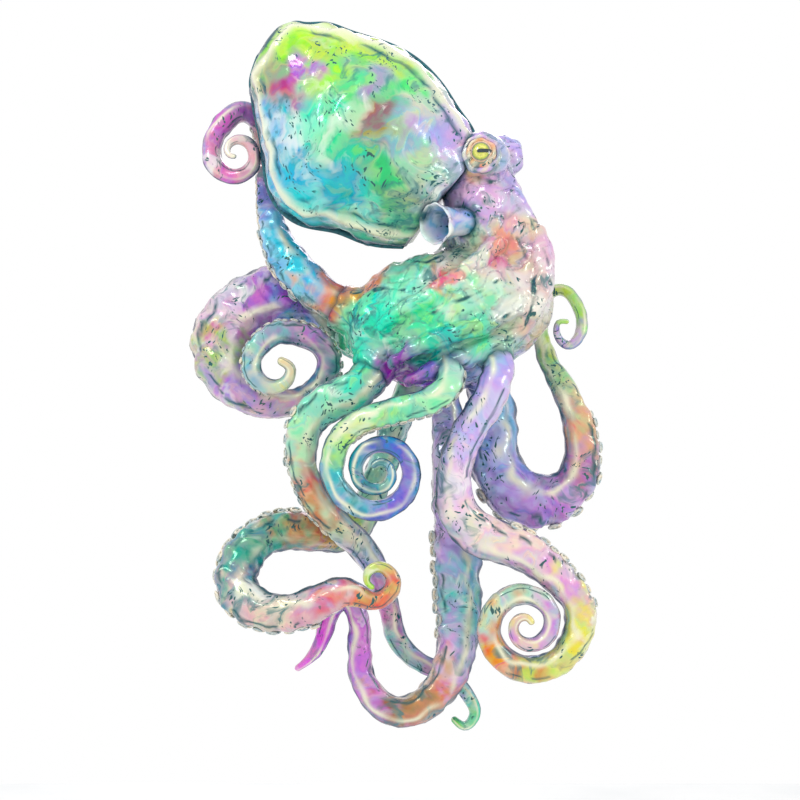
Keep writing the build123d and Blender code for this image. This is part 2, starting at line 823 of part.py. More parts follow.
pieces = {
    "mantle_front_panel": panel(mantle_outer, mantle_inner, [head_outer, near_ball], 1),
    "mantle_back_panel": panel(
        mantle_outer, mantle_inner, [head_outer, climb_hole, valve_hole.part], -1
    ),
    "mantle_rim": mantle_rim.part,
    "head_front_panel": panel(head_outer, head_inner, [crown_outer], 1),
    "head_back_panel": panel(
        head_outer, head_inner, [crown_outer, climb_hole, neck_hole], -1
    ),
    "crown_front_panel": panel(crown_outer, crown_inner, [seam_vents] + lug_screw_holes, 1),
    "crown_back_panel": panel(
        crown_outer, crown_inner, [seam_vents] + lug_screw_holes + [neck_hole, bolt_holes], -1
    ),
    "siphon": siphon.part,
    "near_eye_mound": near_hill,
    "near_eye": near_ball,
    "near_eyelid": near_lid,
    "near_pupil": near_pupil,
    "far_eye_mound": far_hill_trimmed.part,
    "far_eye": far_ball,
    "far_eyelid": far_lid,
    "far_pupil": far_pupil,
    "crown_hub": hub_drilled.part,
    "neck_spar": neck_spar.part,
    "mantle_spar": mantle_spar.part,
    "spar_elbow": spar_elbow.part,
    "spar_end_cap": spar_end_cap.part,
    "mantle_hoop": mantle_hoop.part,
    "inflation_valve": inflation_valve.part,
    "tow_plate": tow_plate.part,
    "tow_bolts": tow_bolts.part,
    "arm_lugs": Compound([arm_lug(arm) for arm in arms]),
    "anchor_plates": Compound([anchor_plate(arm) for arm in arms]),
    "hinge_pins": Compound([hinge_pin(arm) for arm in arms]),
    "lug_screws": Compound(
        [screw(arm_frame(arm), place) for arm in arms for place in lug_screw_places(arm_frame(arm))]
    ),
}
for arm in arms:
    skin = arm_skin(arm)
    pieces[arm + "_skin"] = skin
    pieces[arm + "_collar"] = arm_collar(arm)
    pieces[arm + "_suckers"] = arm_suckers(arm, skin)

for name, piece in pieces.items():
    piece.label = name
    export_step(piece, f"parts/{name}.step")
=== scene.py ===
from math import cos, pi, radians, sin

import bmesh
import bpy
import numpy as np
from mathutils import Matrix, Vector
from mathutils.bvhtree import BVHTree


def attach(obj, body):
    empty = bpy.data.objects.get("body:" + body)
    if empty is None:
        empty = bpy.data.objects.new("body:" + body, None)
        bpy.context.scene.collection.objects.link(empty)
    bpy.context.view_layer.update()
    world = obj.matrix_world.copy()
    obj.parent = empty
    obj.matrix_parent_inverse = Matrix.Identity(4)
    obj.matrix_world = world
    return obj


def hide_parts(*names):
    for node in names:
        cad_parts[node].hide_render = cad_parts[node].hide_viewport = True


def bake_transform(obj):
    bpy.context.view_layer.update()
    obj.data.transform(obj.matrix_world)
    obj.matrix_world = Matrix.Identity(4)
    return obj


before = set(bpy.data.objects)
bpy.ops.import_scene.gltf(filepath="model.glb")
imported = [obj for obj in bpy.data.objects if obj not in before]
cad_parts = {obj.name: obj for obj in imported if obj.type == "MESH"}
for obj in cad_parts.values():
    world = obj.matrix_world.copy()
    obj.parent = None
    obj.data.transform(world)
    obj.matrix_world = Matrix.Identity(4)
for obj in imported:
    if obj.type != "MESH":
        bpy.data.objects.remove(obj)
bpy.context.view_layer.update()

# Lengths are in metres. A depth is counted from the kite's middle plane, the front being negative.
REACH = 0.159  # from the middle plane to the tow eye at the origin
CROWN_LONG, CROWN_ROUND, CROWN_TILT = 0.216, 0.135, 12.0
HINGE_OFF, ROOT_OFF = 0.016, 0.020
DEPTH = np.array([0.0, 1.0, 0.0])
RING_VERTS = 60
RING_STEP = 0.0055
ROOT_DEEP, ROOT_SHALLOW = 0.055, 0.02  # an arm's line starts this far inside the crown's film
SPLINE_SAMPLES = 3000
GIRTH_EASE = 9  # rings over which a radius is averaged
RUFFLE_EASE = 0.05  # share of an arm over which its ribbed edge fades
RIB_ANGLE, RIB_WIDTH = 0.75, 0.28  # radians round the arm from the suckers' side
RIB_PITCH, SHORTEST_RIB = 0.95, 0.008  # share of the arm's radius, and metres


def at(x, depth, z):
    """A point given by its depth from the kite's middle plane."""
    return Vector((x, depth - REACH, z))


def coil(centre, start, sweep, wide, narrow, depth, thick, thin, steps=14, ease=0.8):
    """Stations of a flat spiral: centre, start angle, sweep, radii, depths at both ends, arm radii."""
    stations = []
    for step in range(1, steps + 1):
        share = step / steps
        angle = radians(start + sweep * share)
        radius = wide + (narrow - wide) * share**ease
        girth = thick + (thin - thick) * share
        sink = depth[0] + (depth[1] - depth[0]) * share
        stations.append((centre[0] + radius * cos(angle), sink, centre[1] + radius * sin(angle), girth))
    return stations


# root: degrees along and around the crown. stations: x, depth, z, radius. side: which way the
# suckers face. suckers: where they start and end, as shares of the arm.
arms = {
    "arm_1": {
        "root": (-65, 180), "girth": 0.04,
        "stations": [
            (-0.286, 0.002, 0.07, 0.041), (-0.328, 0.024, 0.12, 0.037), (-0.356, 0.058, 0.18, 0.029),
            (-0.37, 0.086, 0.24, 0.022), (-0.374, 0.098, 0.3, 0.019), (-0.374, 0.094, 0.352, 0.019),
            (-0.384, 0.08, 0.398, 0.021), (-0.412, 0.062, 0.42, 0.023), (-0.446, 0.046, 0.406, 0.023),
        ]
        + coil((-0.426, 0.33), 122, 490, 0.064, 0.011, (0.04, -0.026), 0.022, 0.004, 15, 0.8),
        "side": 1, "suckers": (0.16, 0.56),
    },
    "arm_2": {
        "root": (-58, -100), "girth": 0.046,
        "stations": [
            (-0.24, 0.108, 0.01, 0.048), (-0.288, 0.106, 0.04, 0.054), (-0.35, 0.094, 0.046, 0.062),
            (-0.416, 0.08, 0.018, 0.065), (-0.462, 0.066, -0.04, 0.065), (-0.456, 0.054, -0.104, 0.058),
            (-0.416, 0.044, -0.154, 0.044), (-0.356, 0.038, -0.176, 0.033), (-0.294, 0.036, -0.17, 0.028),
            (-0.248, 0.034, -0.126, 0.026), (-0.246, 0.026, -0.074, 0.026), (-0.288, 0.01, -0.038, 0.025),
            (-0.34, -0.006, -0.034, 0.024), (-0.382, -0.02, -0.062, 0.022), (-0.394, -0.03, -0.106, 0.02),
            (-0.368, -0.038, -0.14, 0.017), (-0.328, -0.042, -0.138, 0.014),
            (-0.314, -0.046, -0.108, 0.011), (-0.332, -0.048, -0.092, 0.008),
        ],
        "side": -1, "suckers": (0.62, 0.92),
    },
    "arm_3": {
        "root": (-50, 35), "girth": 0.038,
        "stations": [
            (-0.204, -0.08, -0.16, 0.04), (-0.256, -0.078, -0.186, 0.038), (-0.29, -0.072, -0.246, 0.034),
            (-0.286, -0.064, -0.316, 0.028), (-0.256, -0.05, -0.38, 0.028), (-0.208, -0.026, -0.434, 0.03),
            (-0.164, 0.004, -0.482, 0.028), (-0.134, 0.024, -0.54, 0.024), (-0.116, 0.034, -0.608, 0.022),
            (-0.1, 0.04, -0.664, 0.022), (-0.066, 0.044, -0.7, 0.02), (-0.02, 0.046, -0.726, 0.019),
            (0.022, 0.044, -0.752, 0.017), (0.048, 0.038, -0.782, 0.014), (0.056, 0.032, -0.812, 0.012),
            (0.038, 0.028, -0.834, 0.01), (0.016, 0.026, -0.822, 0.007),
        ],
        "side": -1, "suckers": (0.22, 0.44),
    },
    "arm_4": {
        "root": (-5, 48), "girth": 0.027,
        "stations": [(-0.004, -0.146, -0.142, 0.027), (-0.034, -0.156, -0.17, 0.027)]
        + coil((-0.138, -0.308), 58, 780, 0.122, 0.015, (-0.158, -0.172), 0.027, 0.007, 22, 0.62),
        "side": 1, "suckers": (0.1, 0.36),
    },
    "arm_5": {
        "root": (12, -25), "girth": 0.044,
        "stations": [
            (0.092, 0.07, -0.186, 0.05), (0.092, 0.056, -0.24, 0.052), (0.104, 0.046, -0.31, 0.054),
            (0.144, 0.04, -0.366, 0.057), (0.204, 0.032, -0.374, 0.055), (0.258, 0.02, -0.34, 0.042),
            (0.274, 0.012, -0.272, 0.036), (0.258, 0.014, -0.194, 0.03), (0.23, 0.03, -0.132, 0.025),
            (0.204, 0.056, -0.076, 0.02), (0.194, 0.076, -0.014, 0.016), (0.206, 0.078, 0.042, 0.014),
            (0.238, 0.062, 0.056, 0.013), (0.268, 0.04, 0.02, 0.013), (0.272, 0.02, -0.03, 0.012),
            (0.248, 0.008, -0.058, 0.01), (0.224, 0.0, -0.042, 0.008), (0.224, -0.004, -0.014, 0.006),
            (0.24, -0.006, -0.012, 0.005),
        ],
        "side": -1, "suckers": (0.26, 0.54),
    },
    "arm_6": {
        "root": (18, 42), "girth": 0.032,
        "stations": [
            (0.09, -0.132, -0.142, 0.033), (0.064, -0.132, -0.192, 0.034), (0.03, -0.122, -0.25, 0.034),
            (0.012, -0.112, -0.316, 0.035), (0.016, -0.102, -0.382, 0.04), (0.058, -0.098, -0.43, 0.044),
            (0.136, -0.098, -0.464, 0.042), (0.204, -0.1, -0.508, 0.036),
        ]
        + coil((0.152, -0.61), 50, -720, 0.122, 0.012, (-0.102, -0.14), 0.033, 0.006, 20, 0.72),
        "side": 1, "suckers": (0.38, 0.52),
    },
    "arm_7": {
        "root": (-10, -12), "girth": 0.033,
        "stations": [
            (0.0, 0.034, -0.21, 0.034), (0.004, 0.024, -0.27, 0.036), (0.006, 0.016, -0.34, 0.04),
            (0.014, 0.01, -0.41, 0.045), (0.018, 0.004, -0.49, 0.048), (0.022, -0.006, -0.57, 0.046),
            (0.02, -0.018, -0.65, 0.042), (-0.002, -0.028, -0.726, 0.038), (-0.046, -0.034, -0.776, 0.035),
            (-0.1, -0.038, -0.792, 0.032), (-0.148, -0.04, -0.764, 0.028), (-0.174, -0.04, -0.71, 0.026),
            (-0.176, -0.04, -0.65, 0.024), (-0.182, -0.04, -0.596, 0.022), (-0.206, -0.04, -0.568, 0.02),
            (-0.232, -0.04, -0.588, 0.021), (-0.25, -0.04, -0.64, 0.017), (-0.27, -0.04, -0.68, 0.012),
            (-0.3, -0.038, -0.706, 0.006),
        ],
        "side": -1, "suckers": (0.3, 0.48),
    },
    "arm_8": {
        "root": (-22, -50), "girth": 0.031,
        "stations": [
            (-0.086, 0.128, -0.17, 0.032), (-0.12, 0.116, -0.262, 0.032), (-0.152, 0.1, -0.36, 0.032),
            (-0.19, 0.078, -0.43, 0.034), (-0.242, 0.054, -0.446, 0.038), (-0.306, 0.024, -0.434, 0.04),
            (-0.372, -0.01, -0.446, 0.04), (-0.414, -0.046, -0.49, 0.042), (-0.418, -0.076, -0.542, 0.042),
            (-0.378, -0.098, -0.58, 0.038), (-0.316, -0.112, -0.586, 0.037),
            (-0.252, -0.122, -0.566, 0.037), (-0.204, -0.13, -0.546, 0.03),
        ]
        + coil((-0.142, -0.52), 214, 380, 0.046, 0.015, (-0.136, -0.15), 0.022, 0.005, 11, 0.9),
        "side": -1, "suckers": (0.46, 0.76),
    },
}


# ---------------------------------------------------------------- camera, light and floor
CAMERA_AIM = (-0.096, -0.20, -0.170)
CAMERA_AWAY = 3.556


def set_camera():
    """Level front view through a long lens."""
    data = bpy.data.cameras.new("front_camera")
    data.lens, data.sensor_width = 80.0, 36.0
    camera = bpy.data.objects.new("front_camera", data)
    camera.location = (CAMERA_AIM[0], CAMERA_AIM[1] - CAMERA_AWAY, CAMERA_AIM[2])
    camera.rotation_euler = (pi / 2, 0, 0)
    data.clip_end = 60
    bpy.context.collection.objects.link(camera)
    bpy.context.scene.camera = camera


LIGHT_AIM = (0, -0.1, 0)
FLOOR_LEVEL = -1.25


def soft_light(name, place, size, watts):
    """White square softbox aimed at the kite."""
    data = bpy.data.lights.new(name, "AREA")
    data.shape, data.size, data.energy = "SQUARE", size, watts
    lamp = bpy.data.objects.new(name, data)
    lamp.location = place
    lamp.rotation_euler = (Vector(LIGHT_AIM) - Vector(place)).to_track_quat("-Z", "Y").to_euler()
    bpy.context.collection.objects.link(lamp)


def set_studio():
    """White room, three softboxes and a pale floor well below the kite."""
    world = bpy.data.worlds.new("white_room")
    world.use_nodes = True
    sky = world.node_tree.nodes["Background"]
    sky.inputs["Color"].default_value = (1, 1, 1, 1)
    sky.inputs["Strength"].default_value = 1.0
    bpy.context.scene.world = world
    soft_light("key_softbox", (-1.6, -2.2, 2.0), 0.8, 22)
    soft_light("side_softbox", (2.2, -1.4, 0.6), 0.6, 9)
    soft_light("back_softbox", (0.4, 2.4, 1.6), 1.2, 14)
    corners = [(x, y, FLOOR_LEVEL) for x, y in ((-2.5, -3), (2.5, -3), (2.5, 1.25), (-2.5, 1.25))]
    floor = mesh_piece("floor", corners, [(0, 1, 2, 3)])
    floor.data.materials.append(pale_floor())


# ---------------------------------------------------------------- mesh helpers
def mesh_piece(name, points, faces, smooth=False):
    """A linked object from points and faces."""
    mesh = bpy.data.meshes.new(name)
    mesh.from_pydata([tuple(p) for p in points], [], faces)
    mesh.validate()
    if smooth:
        mesh.polygons.foreach_set("use_smooth", [True] * len(mesh.polygons))
    piece = bpy.data.objects.new(name, mesh)
    bpy.context.collection.objects.link(piece)
    return piece


def bake_modifiers(piece):
    """The piece's evaluated mesh, with its modifiers gone."""
    depsgraph = bpy.context.evaluated_depsgraph_get()
    mesh = bpy.data.meshes.new_from_object(piece.evaluated_get(depsgraph))
    piece.modifiers.clear()
    old = piece.data
    piece.data = mesh
    bpy.data.meshes.remove(old)
    piece.data.name = piece.name
    piece.data.polygons.foreach_set("use_smooth", [True] * len(piece.data.polygons))


def points_of(piece):
    """The piece's points as an array."""
    flat = np.zeros(len(piece.data.vertices) * 3, np.float32)
    piece.data.vertices.foreach_get("co", flat)
    return flat.reshape(-1, 3).astype(float)


def set_points(piece, points):
    """Moves the piece's points."""
    piece.data.vertices.foreach_set("co", points.astype(np.float32).ravel())
    piece.data.update()


def normals_of(piece):
    """The piece's point normals as an array."""
    flat = np.zeros(len(piece.data.vertices) * 3, np.float32)
    piece.data.vertices.foreach_get("normal", flat)
    return flat.reshape(-1, 3).astype(float)


def put_colour(piece, colours):
    """Stores one colour a point, linear, as the attribute that the film material reads."""
    layer = piece.data.color_attributes.new("tint", "FLOAT_COLOR", "POINT")
    flat = np.ones((len(colours), 4), np.float32)
    flat[:, :3] = colours
    layer.data.foreach_set("color", flat.ravel())


def put_value(piece, name, values):
    """Stores one number a point, under a name."""
    layer = piece.data.attributes.new(name, "FLOAT", "POINT")
    layer.data.foreach_set("value", np.asarray(values, np.float32))


def linear(colour):
    """A display colour, 0 to 255 a channel, as linear light."""
    c = np.array(colour, float) / 255
    return np.where(c <= 0.04045, c / 12.92, ((c + 0.055) / 1.055) ** 2.4)


# ---------------------------------------------------------------- arm shapes
def crown_point(along, around):
    """Point and outward normal on the crown: around 0 is under it, 90 its front."""
    tilt = radians(CROWN_TILT)
    long_axis, under = Vector((cos(tilt), 0, sin(tilt))), Vector((sin(tilt), 0, -cos(tilt)))
    ring = under * cos(radians(around)) + Vector((0, -1, 0)) * sin(radians(around))
    turn = radians(along)
    place = long_axis * (CROWN_LONG * sin(turn)) + ring * (CROWN_ROUND * cos(turn))
    normal = long_axis * (sin(turn) / CROWN_LONG) + ring * (cos(turn) / CROWN_ROUND)
    return at(0, 0, 0) + place, normal.normalized()


def natural_spline(knots, values, samples):
    """Natural cubic through values at knots, read at samples."""
    n = len(knots)
    gap = np.diff(knots)
    matrix, right = np.zeros((n, n)), np.zeros((n, values.shape[1]))
    matrix[0, 0] = matrix[-1, -1] = 1
    for i in range(1, n - 1):
        matrix[i, i - 1], matrix[i, i], matrix[i, i + 1] = gap[i - 1], 2 * (gap[i - 1] + gap[i]), gap[i]
        right[i] = 3 * ((values[i + 1] - values[i]) / gap[i] - (values[i] - values[i - 1]) / gap[i - 1])
    c = np.linalg.solve(matrix, right)
    cell = np.clip(np.searchsorted(knots, samples, side="right") - 1, 0, n - 2)
    d = (samples - knots[cell])[:, None]
    h = gap[cell][:, None]
    slope = (values[cell + 1] - values[cell]) / h - h * (2 * c[cell] + c[cell + 1]) / 3
    return values[cell] + slope * d + c[cell] * d**2 + (c[cell + 1] - c[cell]) / (3 * h) * d**3


def arm_line(name):
    """Dense centreline of an arm: points, radii, tangents, shares of its length, from inside the crown."""
    spec = arms[name]
    spot, normal = crown_point(*spec["root"])
    hinge = spot + normal * HINGE_OFF
    route = [spot - normal * ROOT_DEEP, spot - normal * ROOT_SHALLOW, hinge + normal * ROOT_OFF]
    girths = [spec["girth"] * 0.9, spec["girth"] * 0.95, spec["girth"]]
    for x, depth, z, girth in spec["stations"]:
        route.append(at(x, depth, z))
        girths.append(girth)
    values = np.array([[*p, g] for p, g in zip(route, girths)])
    knots = np.concatenate([[0], np.cumsum(np.sqrt(np.linalg.norm(np.diff(values[:, :3], axis=0), axis=1)))])
    samples = np.linspace(0, knots[-1], SPLINE_SAMPLES)
    fine = natural_spline(knots, values, samples)
    fine[:, 3] = np.interp(samples, knots, values[:, 3])
    run = np.concatenate([[0], np.cumsum(np.linalg.norm(np.diff(fine[:, :3], axis=0), axis=1))])
    count = int(run[-1] / RING_STEP)
    steps = np.linspace(0, run[-1], count)
    line = np.stack([np.interp(steps, run, fine[:, i]) for i in range(4)], axis=1)
    padded = np.pad(line[:, 3], GIRTH_EASE // 2, mode="edge")
    line[:, 3] = np.convolve(padded, np.ones(GIRTH_EASE) / GIRTH_EASE, "valid")
    tangent = np.gradient(line[:, :3], axis=0)
    tangent /= np.linalg.norm(tangent, axis=1)[:, None]
    return line[:, :3], line[:, 3], tangent, steps / run[-1], run[-1], hinge, normal


def arm_rings(name):
    """Ring points of an arm with its ribbed edges, plus what the colours and suckers need."""
    centre, girth, tangent, share, length, hinge, normal = arm_line(name)
    side = np.cross(tangent, DEPTH)
    side /= np.linalg.norm(side, axis=1)[:, None]
    front = np.cross(side, tangent)
    side *= arms[name]["side"]
    front = front * np.where(front[:, 1] > 0, -1.0, 1.0)[:, None]
    angle = np.linspace(0, 2 * pi, RING_VERTS, endpoint=False)
    run = share * length
    low, high = arms[name]["suckers"]
    ruffle = np.clip((share - low + RUFFLE_EASE) / RUFFLE_EASE, 0, 1)
    ruffle *= np.clip((high + RUFFLE_EASE - share) / RUFFLE_EASE, 0, 1)
    phase = np.cumsum(np.gradient(run) / np.maximum(girth * RIB_PITCH, SHORTEST_RIB)) * 2 * pi
    wave = 0.5 + 0.5 * np.sin(phase)
    radius = np.ones((len(girth), RING_VERTS))
    for centre_angle in (RIB_ANGLE, -RIB_ANGLE):
        turn = (angle - centre_angle + pi) % (2 * pi) - pi
        lobe = np.exp(-((turn / RIB_WIDTH) ** 2))
        radius += lobe[None, :] * ((0.05 + 0.16 * wave) * (0.25 + 0.75 * ruffle))[:, None]
    belly = np.exp(-((((angle + pi) % (2 * pi)) - pi) / 0.5) ** 2)
    radius -= 0.07 * belly[None, :]
    ridge = np.exp(-((((angle - 2.0 + pi) % (2 * pi)) - pi) / 0.22) ** 2)
    radius += 0.045 * ridge[None, :]
    rings = centre[:, None, :] + (girth[:, None] * radius)[:, :, None] * (
        np.cos(angle)[None, :, None] * side[:, None, :] + np.sin(angle)[None, :, None] * front[:, None, :]
    )
    return rings, centre, girth, tangent, share, length, hinge, normal, angle


# ---------------------------------------------------------------- painted colours
TEAL_LINE = (26, 84, 100)
CREAM = (244, 240, 205)

arm_paint = {
    "arm_1": [(0, 225, 130, 80), (0.1, 235, 150, 90), (0.16, 90, 190, 225), (0.3, 110, 200, 240),
              (0.42, 150, 150, 220), (0.52, 205, 70, 90), (0.6, 190, 80, 190), (0.75, 215, 100, 195),
              (0.88, 240, 160, 190), (1, 245, 215, 190)],
    "arm_2": [(0, 235, 150, 90), (0.08, 120, 225, 190), (0.16, 130, 170, 225), (0.24, 170, 120, 215),
              (0.34, 205, 110, 190), (0.4, 165, 190, 90), (0.46, 185, 130, 215), (0.56, 225, 190, 190),
              (0.64, 70, 140, 150), (0.74, 190, 120, 190), (0.84, 120, 180, 190), (1, 235, 225, 170)],
    "arm_3": [(0, 100, 225, 190), (0.15, 110, 235, 190), (0.28, 190, 235, 190), (0.38, 235, 130, 95),
              (0.45, 225, 225, 190), (0.56, 165, 165, 225), (0.66, 200, 90, 170), (0.74, 150, 215, 190),
              (0.84, 200, 140, 215), (0.93, 130, 220, 190), (1, 130, 205, 80)],
    "arm_4": [(0, 130, 235, 185), (0.12, 170, 240, 190), (0.24, 130, 225, 170), (0.36, 200, 235, 130),
              (0.46, 90, 175, 190), (0.6, 110, 110, 205), (0.75, 80, 110, 190), (0.88, 30, 130, 150),
              (1, 120, 190, 200)],
    "arm_5": [(0, 140, 190, 235), (0.18, 165, 190, 245), (0.32, 175, 150, 225), (0.42, 195, 120, 190),
              (0.5, 225, 150, 120), (0.6, 150, 200, 140), (0.7, 205, 225, 120), (0.85, 175, 235, 70),
              (0.93, 170, 110, 215), (1, 190, 235, 90)],
    "arm_6": [(0, 195, 165, 230), (0.15, 205, 195, 245), (0.26, 240, 200, 240), (0.36, 245, 225, 205),
              (0.46, 225, 165, 220), (0.54, 240, 230, 120), (0.62, 215, 225, 110), (0.7, 240, 130, 95),
              (0.8, 190, 220, 200), (0.9, 210, 150, 215), (1, 240, 232, 150)],
    "arm_7": [(0, 160, 200, 215), (0.16, 200, 180, 235), (0.3, 215, 190, 245), (0.4, 90, 190, 190),
              (0.5, 205, 150, 225), (0.56, 215, 120, 80), (0.64, 165, 80, 50), (0.72, 210, 130, 215),
              (0.82, 195, 110, 215), (0.9, 225, 100, 225), (1, 250, 110, 230)],
    "arm_8": [(0, 110, 220, 190), (0.2, 130, 225, 200), (0.34, 170, 210, 140), (0.44, 205, 120, 70),
              (0.52, 40, 160, 120), (0.6, 20, 125, 130), (0.68, 235, 205, 190), (0.78, 210, 160, 180),
              (0.86, 235, 90, 70), (0.93, 210, 190, 110), (1, 175, 225, 70)],
}

# Patches on the mantle, head and crown: x, z, display colour.
body_paint = [
    (-0.276, 0.575, 195, 250, 20), (-0.336, 0.53, 180, 240, 40), (-0.196, 0.55, 205, 245, 30),
    (-0.10, 0.50, 190, 240, 60), (-0.256, 0.52, 190, 235, 60), (-0.346, 0.475, 150, 175, 100),
    (-0.236, 0.475, 165, 242, 70), (-0.196, 0.44, 120, 230, 130), (-0.326, 0.455, 185, 50, 95),
    (-0.36, 0.38, 60, 180, 225), (-0.33, 0.30, 30, 175, 215), (-0.30, 0.24, 50, 205, 220),
    (-0.256, 0.38, 80, 235, 190), (-0.216, 0.33, 60, 215, 150), (-0.146, 0.38, 140, 95, 50),
    (-0.18, 0.40, 110, 200, 120), (-0.116, 0.41, 90, 200, 130), (-0.076, 0.45, 130, 235, 130),
    (-0.196, 0.25, 40, 180, 190), (-0.13, 0.29, 90, 200, 120), (-0.096, 0.23, 120, 170, 110),
    (-0.036, 0.35, 190, 180, 230), (-0.056, 0.42, 205, 215, 190), (-0.056, 0.29, 170, 215, 165),
    (-0.176, 0.19, 130, 220, 190), (-0.276, 0.20, 130, 230, 225), (-0.1, 0.33, 150, 190, 195),
    (-0.15, 0.44, 150, 145, 185), (-0.293, 0.48, 190, 100, 200),
    (0.014, 0.32, 205, 185, 230), (0.064, 0.37, 200, 175, 235), (0.114, 0.36, 205, 190, 240),
    (0.07, 0.314, 240, 185, 140), (0.124, 0.29, 190, 185, 225), (0.064, 0.23, 225, 190, 225),
    (0.144, 0.22, 205, 190, 230), (0.184, 0.13, 225, 190, 210), (0.204, 0.06, 205, 165, 165),
    (0.174, 0.17, 235, 215, 185), (0.044, 0.15, 190, 220, 190), (0.104, 0.122, 240, 150, 165),
    (-0.004, 0.06, 240, 120, 125), (0.03, 0.085, 238, 236, 205), (-0.096, 0.05, 150, 245, 205),
    (-0.05, 0.085, 150, 235, 195), (-0.035, 0.03, 120, 245, 185), (0.03, 0.045, 180, 235, 195),
    (0.07, 0.10, 240, 228, 205), (0.13, 0.09, 230, 205, 185), (0.10, 0.0, 175, 195, 165),
    (-0.156, 0.01, 90, 240, 200), (-0.056, -0.01, 110, 235, 160), (0.064, 0.03, 150, 235, 170),
    (0.064, -0.03, 130, 225, 165), (-0.016, -0.07, 60, 190, 160), (0.104, -0.07, 150, 205, 175),
    (0.164, -0.01, 215, 190, 165), (-0.096, -0.13, 165, 40, 175), (-0.036, -0.13, 140, 70, 200),
    (-0.196, -0.08, 100, 235, 180), (-0.176, 0.08, 235, 160, 100), (-0.236, 0.08, 240, 110, 60),
    (0.144, -0.11, 165, 180, 230), (0.044, -0.15, 185, 185, 235), (0.02, 0.20, 190, 170, 220),
]


def waves(points, size, seed, count=7):
    """Smooth noise, about -1 to 1, from a few sine waves of one rough size in seeded directions."""
    random = np.random.default_rng(seed)
    total = np.zeros(len(points))
    for _ in range(count):
        direction = random.normal(size=3)
        direction *= random.uniform(0.7, 1.5) / (np.linalg.norm(direction) * size)
        total += np.sin(2 * pi * (points @ direction) + random.uniform(0, 2 * pi))
    return total / count**0.5


def patch_colours(points):
    """Blends the body's painted patches, with wandering edges."""
    flat = points[:, [0, 2]].copy()
    flat[:, 0] += 0.014 * waves(points, 0.07, 1) + 0.006 * waves(points, 0.03, 2)
    flat[:, 1] += 0.014 * waves(points, 0.07, 3) + 0.006 * waves(points, 0.03, 4)
    total, weight = np.zeros((len(points), 3)), np.zeros(len(points))
    for x, z, *colour in body_paint:
        near = 1 / (((flat - (x, z)) ** 2).sum(axis=1) + 1e-5) ** 2.2
        total += near[:, None] * linear(colour)
        weight += near
    return total / weight[:, None]


def mix(colours, colour, share):
    """Mixes one display colour into an array of colours by a share for each point."""
    share = np.clip(share, 0, 1)[:, None]
    return colours * (1 - share) + linear(colour) * share


def arm_colours(name, points, share, angle):
    """Colours along an arm, with a cream belly, a painted shadow band, a streak of painted highlight and dark
    lines of painted shade.
    """
    stops = np.array(arm_paint[name], float)
    place = np.clip(share + 0.03 * waves(points, 0.05, 11) + 0.014 * waves(points, 0.02, 12), 0, 1)
    lights = linear(stops[:, 1:])
    colours = np.stack([np.interp(place, stops[:, 0], lights[:, i]) for i in range(3)], axis=1)
    turn = (angle + pi) % (2 * pi) - pi
    colours = mix(colours, CREAM, 0.6 * np.exp(-((turn / 0.62) ** 2)))
    sway = 0.16 * waves(points, 0.07, 14)
    # painted shadow: a darker teal band on the outer flank, near the outer edge
    shadow = np.exp(-(((np.abs(turn) - 2.5 + sway) / 0.16) ** 2))
    colours = mix(colours, (70, 150, 170), 0.55 * shadow * np.clip(0.6 + 0.6 * waves(points, 0.08, 15), 0, 1))
    # painted highlight: a cream streak along the flank between the front and the outer edge
    flank = np.exp(-(((np.abs(turn) - 2.0 + sway) / 0.2) ** 2))
    sheen = 0.9 * flank * np.clip(0.7 + 0.5 * waves(points, 0.08, 13), 0, 1)
    # painted shade: a broken dark line just outside the ribbed fringe, and dark lines along the outer and
    # inner edges as seen from the front
    stroke = np.exp(-(((np.abs(turn) - 0.98 + 0.6 * sway) / 0.075) ** 2)) * (waves(points, 0.07, 16) > -0.1)
    edge = np.exp(-(((np.abs(turn) - pi) / 0.46) ** 4))
    inner = np.exp(-((turn / 0.24) ** 4))
    return colours, np.maximum.reduce([edge, 0.8 * inner, 0.85 * stroke]), sheen


# ---------------------------------------------------------------- finishes
def new_finish(name):
    """An empty node material: its tree, its principled shader and its object coordinates."""
    finish = bpy.data.materials.new(name)
    finish.use_nodes = True
    tree = finish.node_tree
    return finish, tree, tree.nodes["Principled BSDF"], tree.nodes.new("ShaderNodeTexCoord").outputs["Object"]


def wire(tree, kind, inputs=(), **settings):
    """Adds a node, sets its properties, and fills its inputs with links or values."""
    node = tree.nodes.new(kind)
    for key, value in settings.items():
        setattr(node, key, value)
    for key, value in dict(inputs).items():
        if isinstance(value, bpy.types.NodeSocket):
            tree.links.new(value, node.inputs[key])
        else:
            node.inputs[key].default_value = value
    return node


def ramp(tree, fac, stops):
    """Colour ramp from (place, display colour) stops."""
    node = wire(tree, "ShaderNodeValToRGB", {"Fac": fac})
    band = node.color_ramp
    while len(band.elements) < len(stops):
        band.elements.new(0.5)
    for element, (place, colour) in zip(band.elements, stops):
        element.position = place
        element.color = (*linear(colour), 1)
    return node.outputs["Color"]


def blend_colour(tree, share, low, high, kind="MIX"):
    """Mixes two colours by a share."""
    node = wire(tree, "ShaderNodeMix", {0: share}, data_type="RGBA", blend_type=kind)
    for socket, value in ((node.inputs[6], low), (node.inputs[7], high)):
        if isinstance(value, bpy.types.NodeSocket):
            tree.links.new(value, socket)
        else:
            socket.default_value = value
    return node.outputs[2]


def scaled(tree, value, low, high, to_low=0.0, to_high=1.0):
    """Clamped remap of a value."""
    limits = {"Value": value, "From Min": low, "From Max": high, "To Min": to_low, "To Max": to_high}
    return wire(tree, "ShaderNodeMapRange", limits).outputs["Result"]


def combine(tree, kind, a, b):
    """One arithmetic step on two values."""
    return wire(tree, "ShaderNodeMath", {0: a, 1: b}, operation=kind).outputs[0]


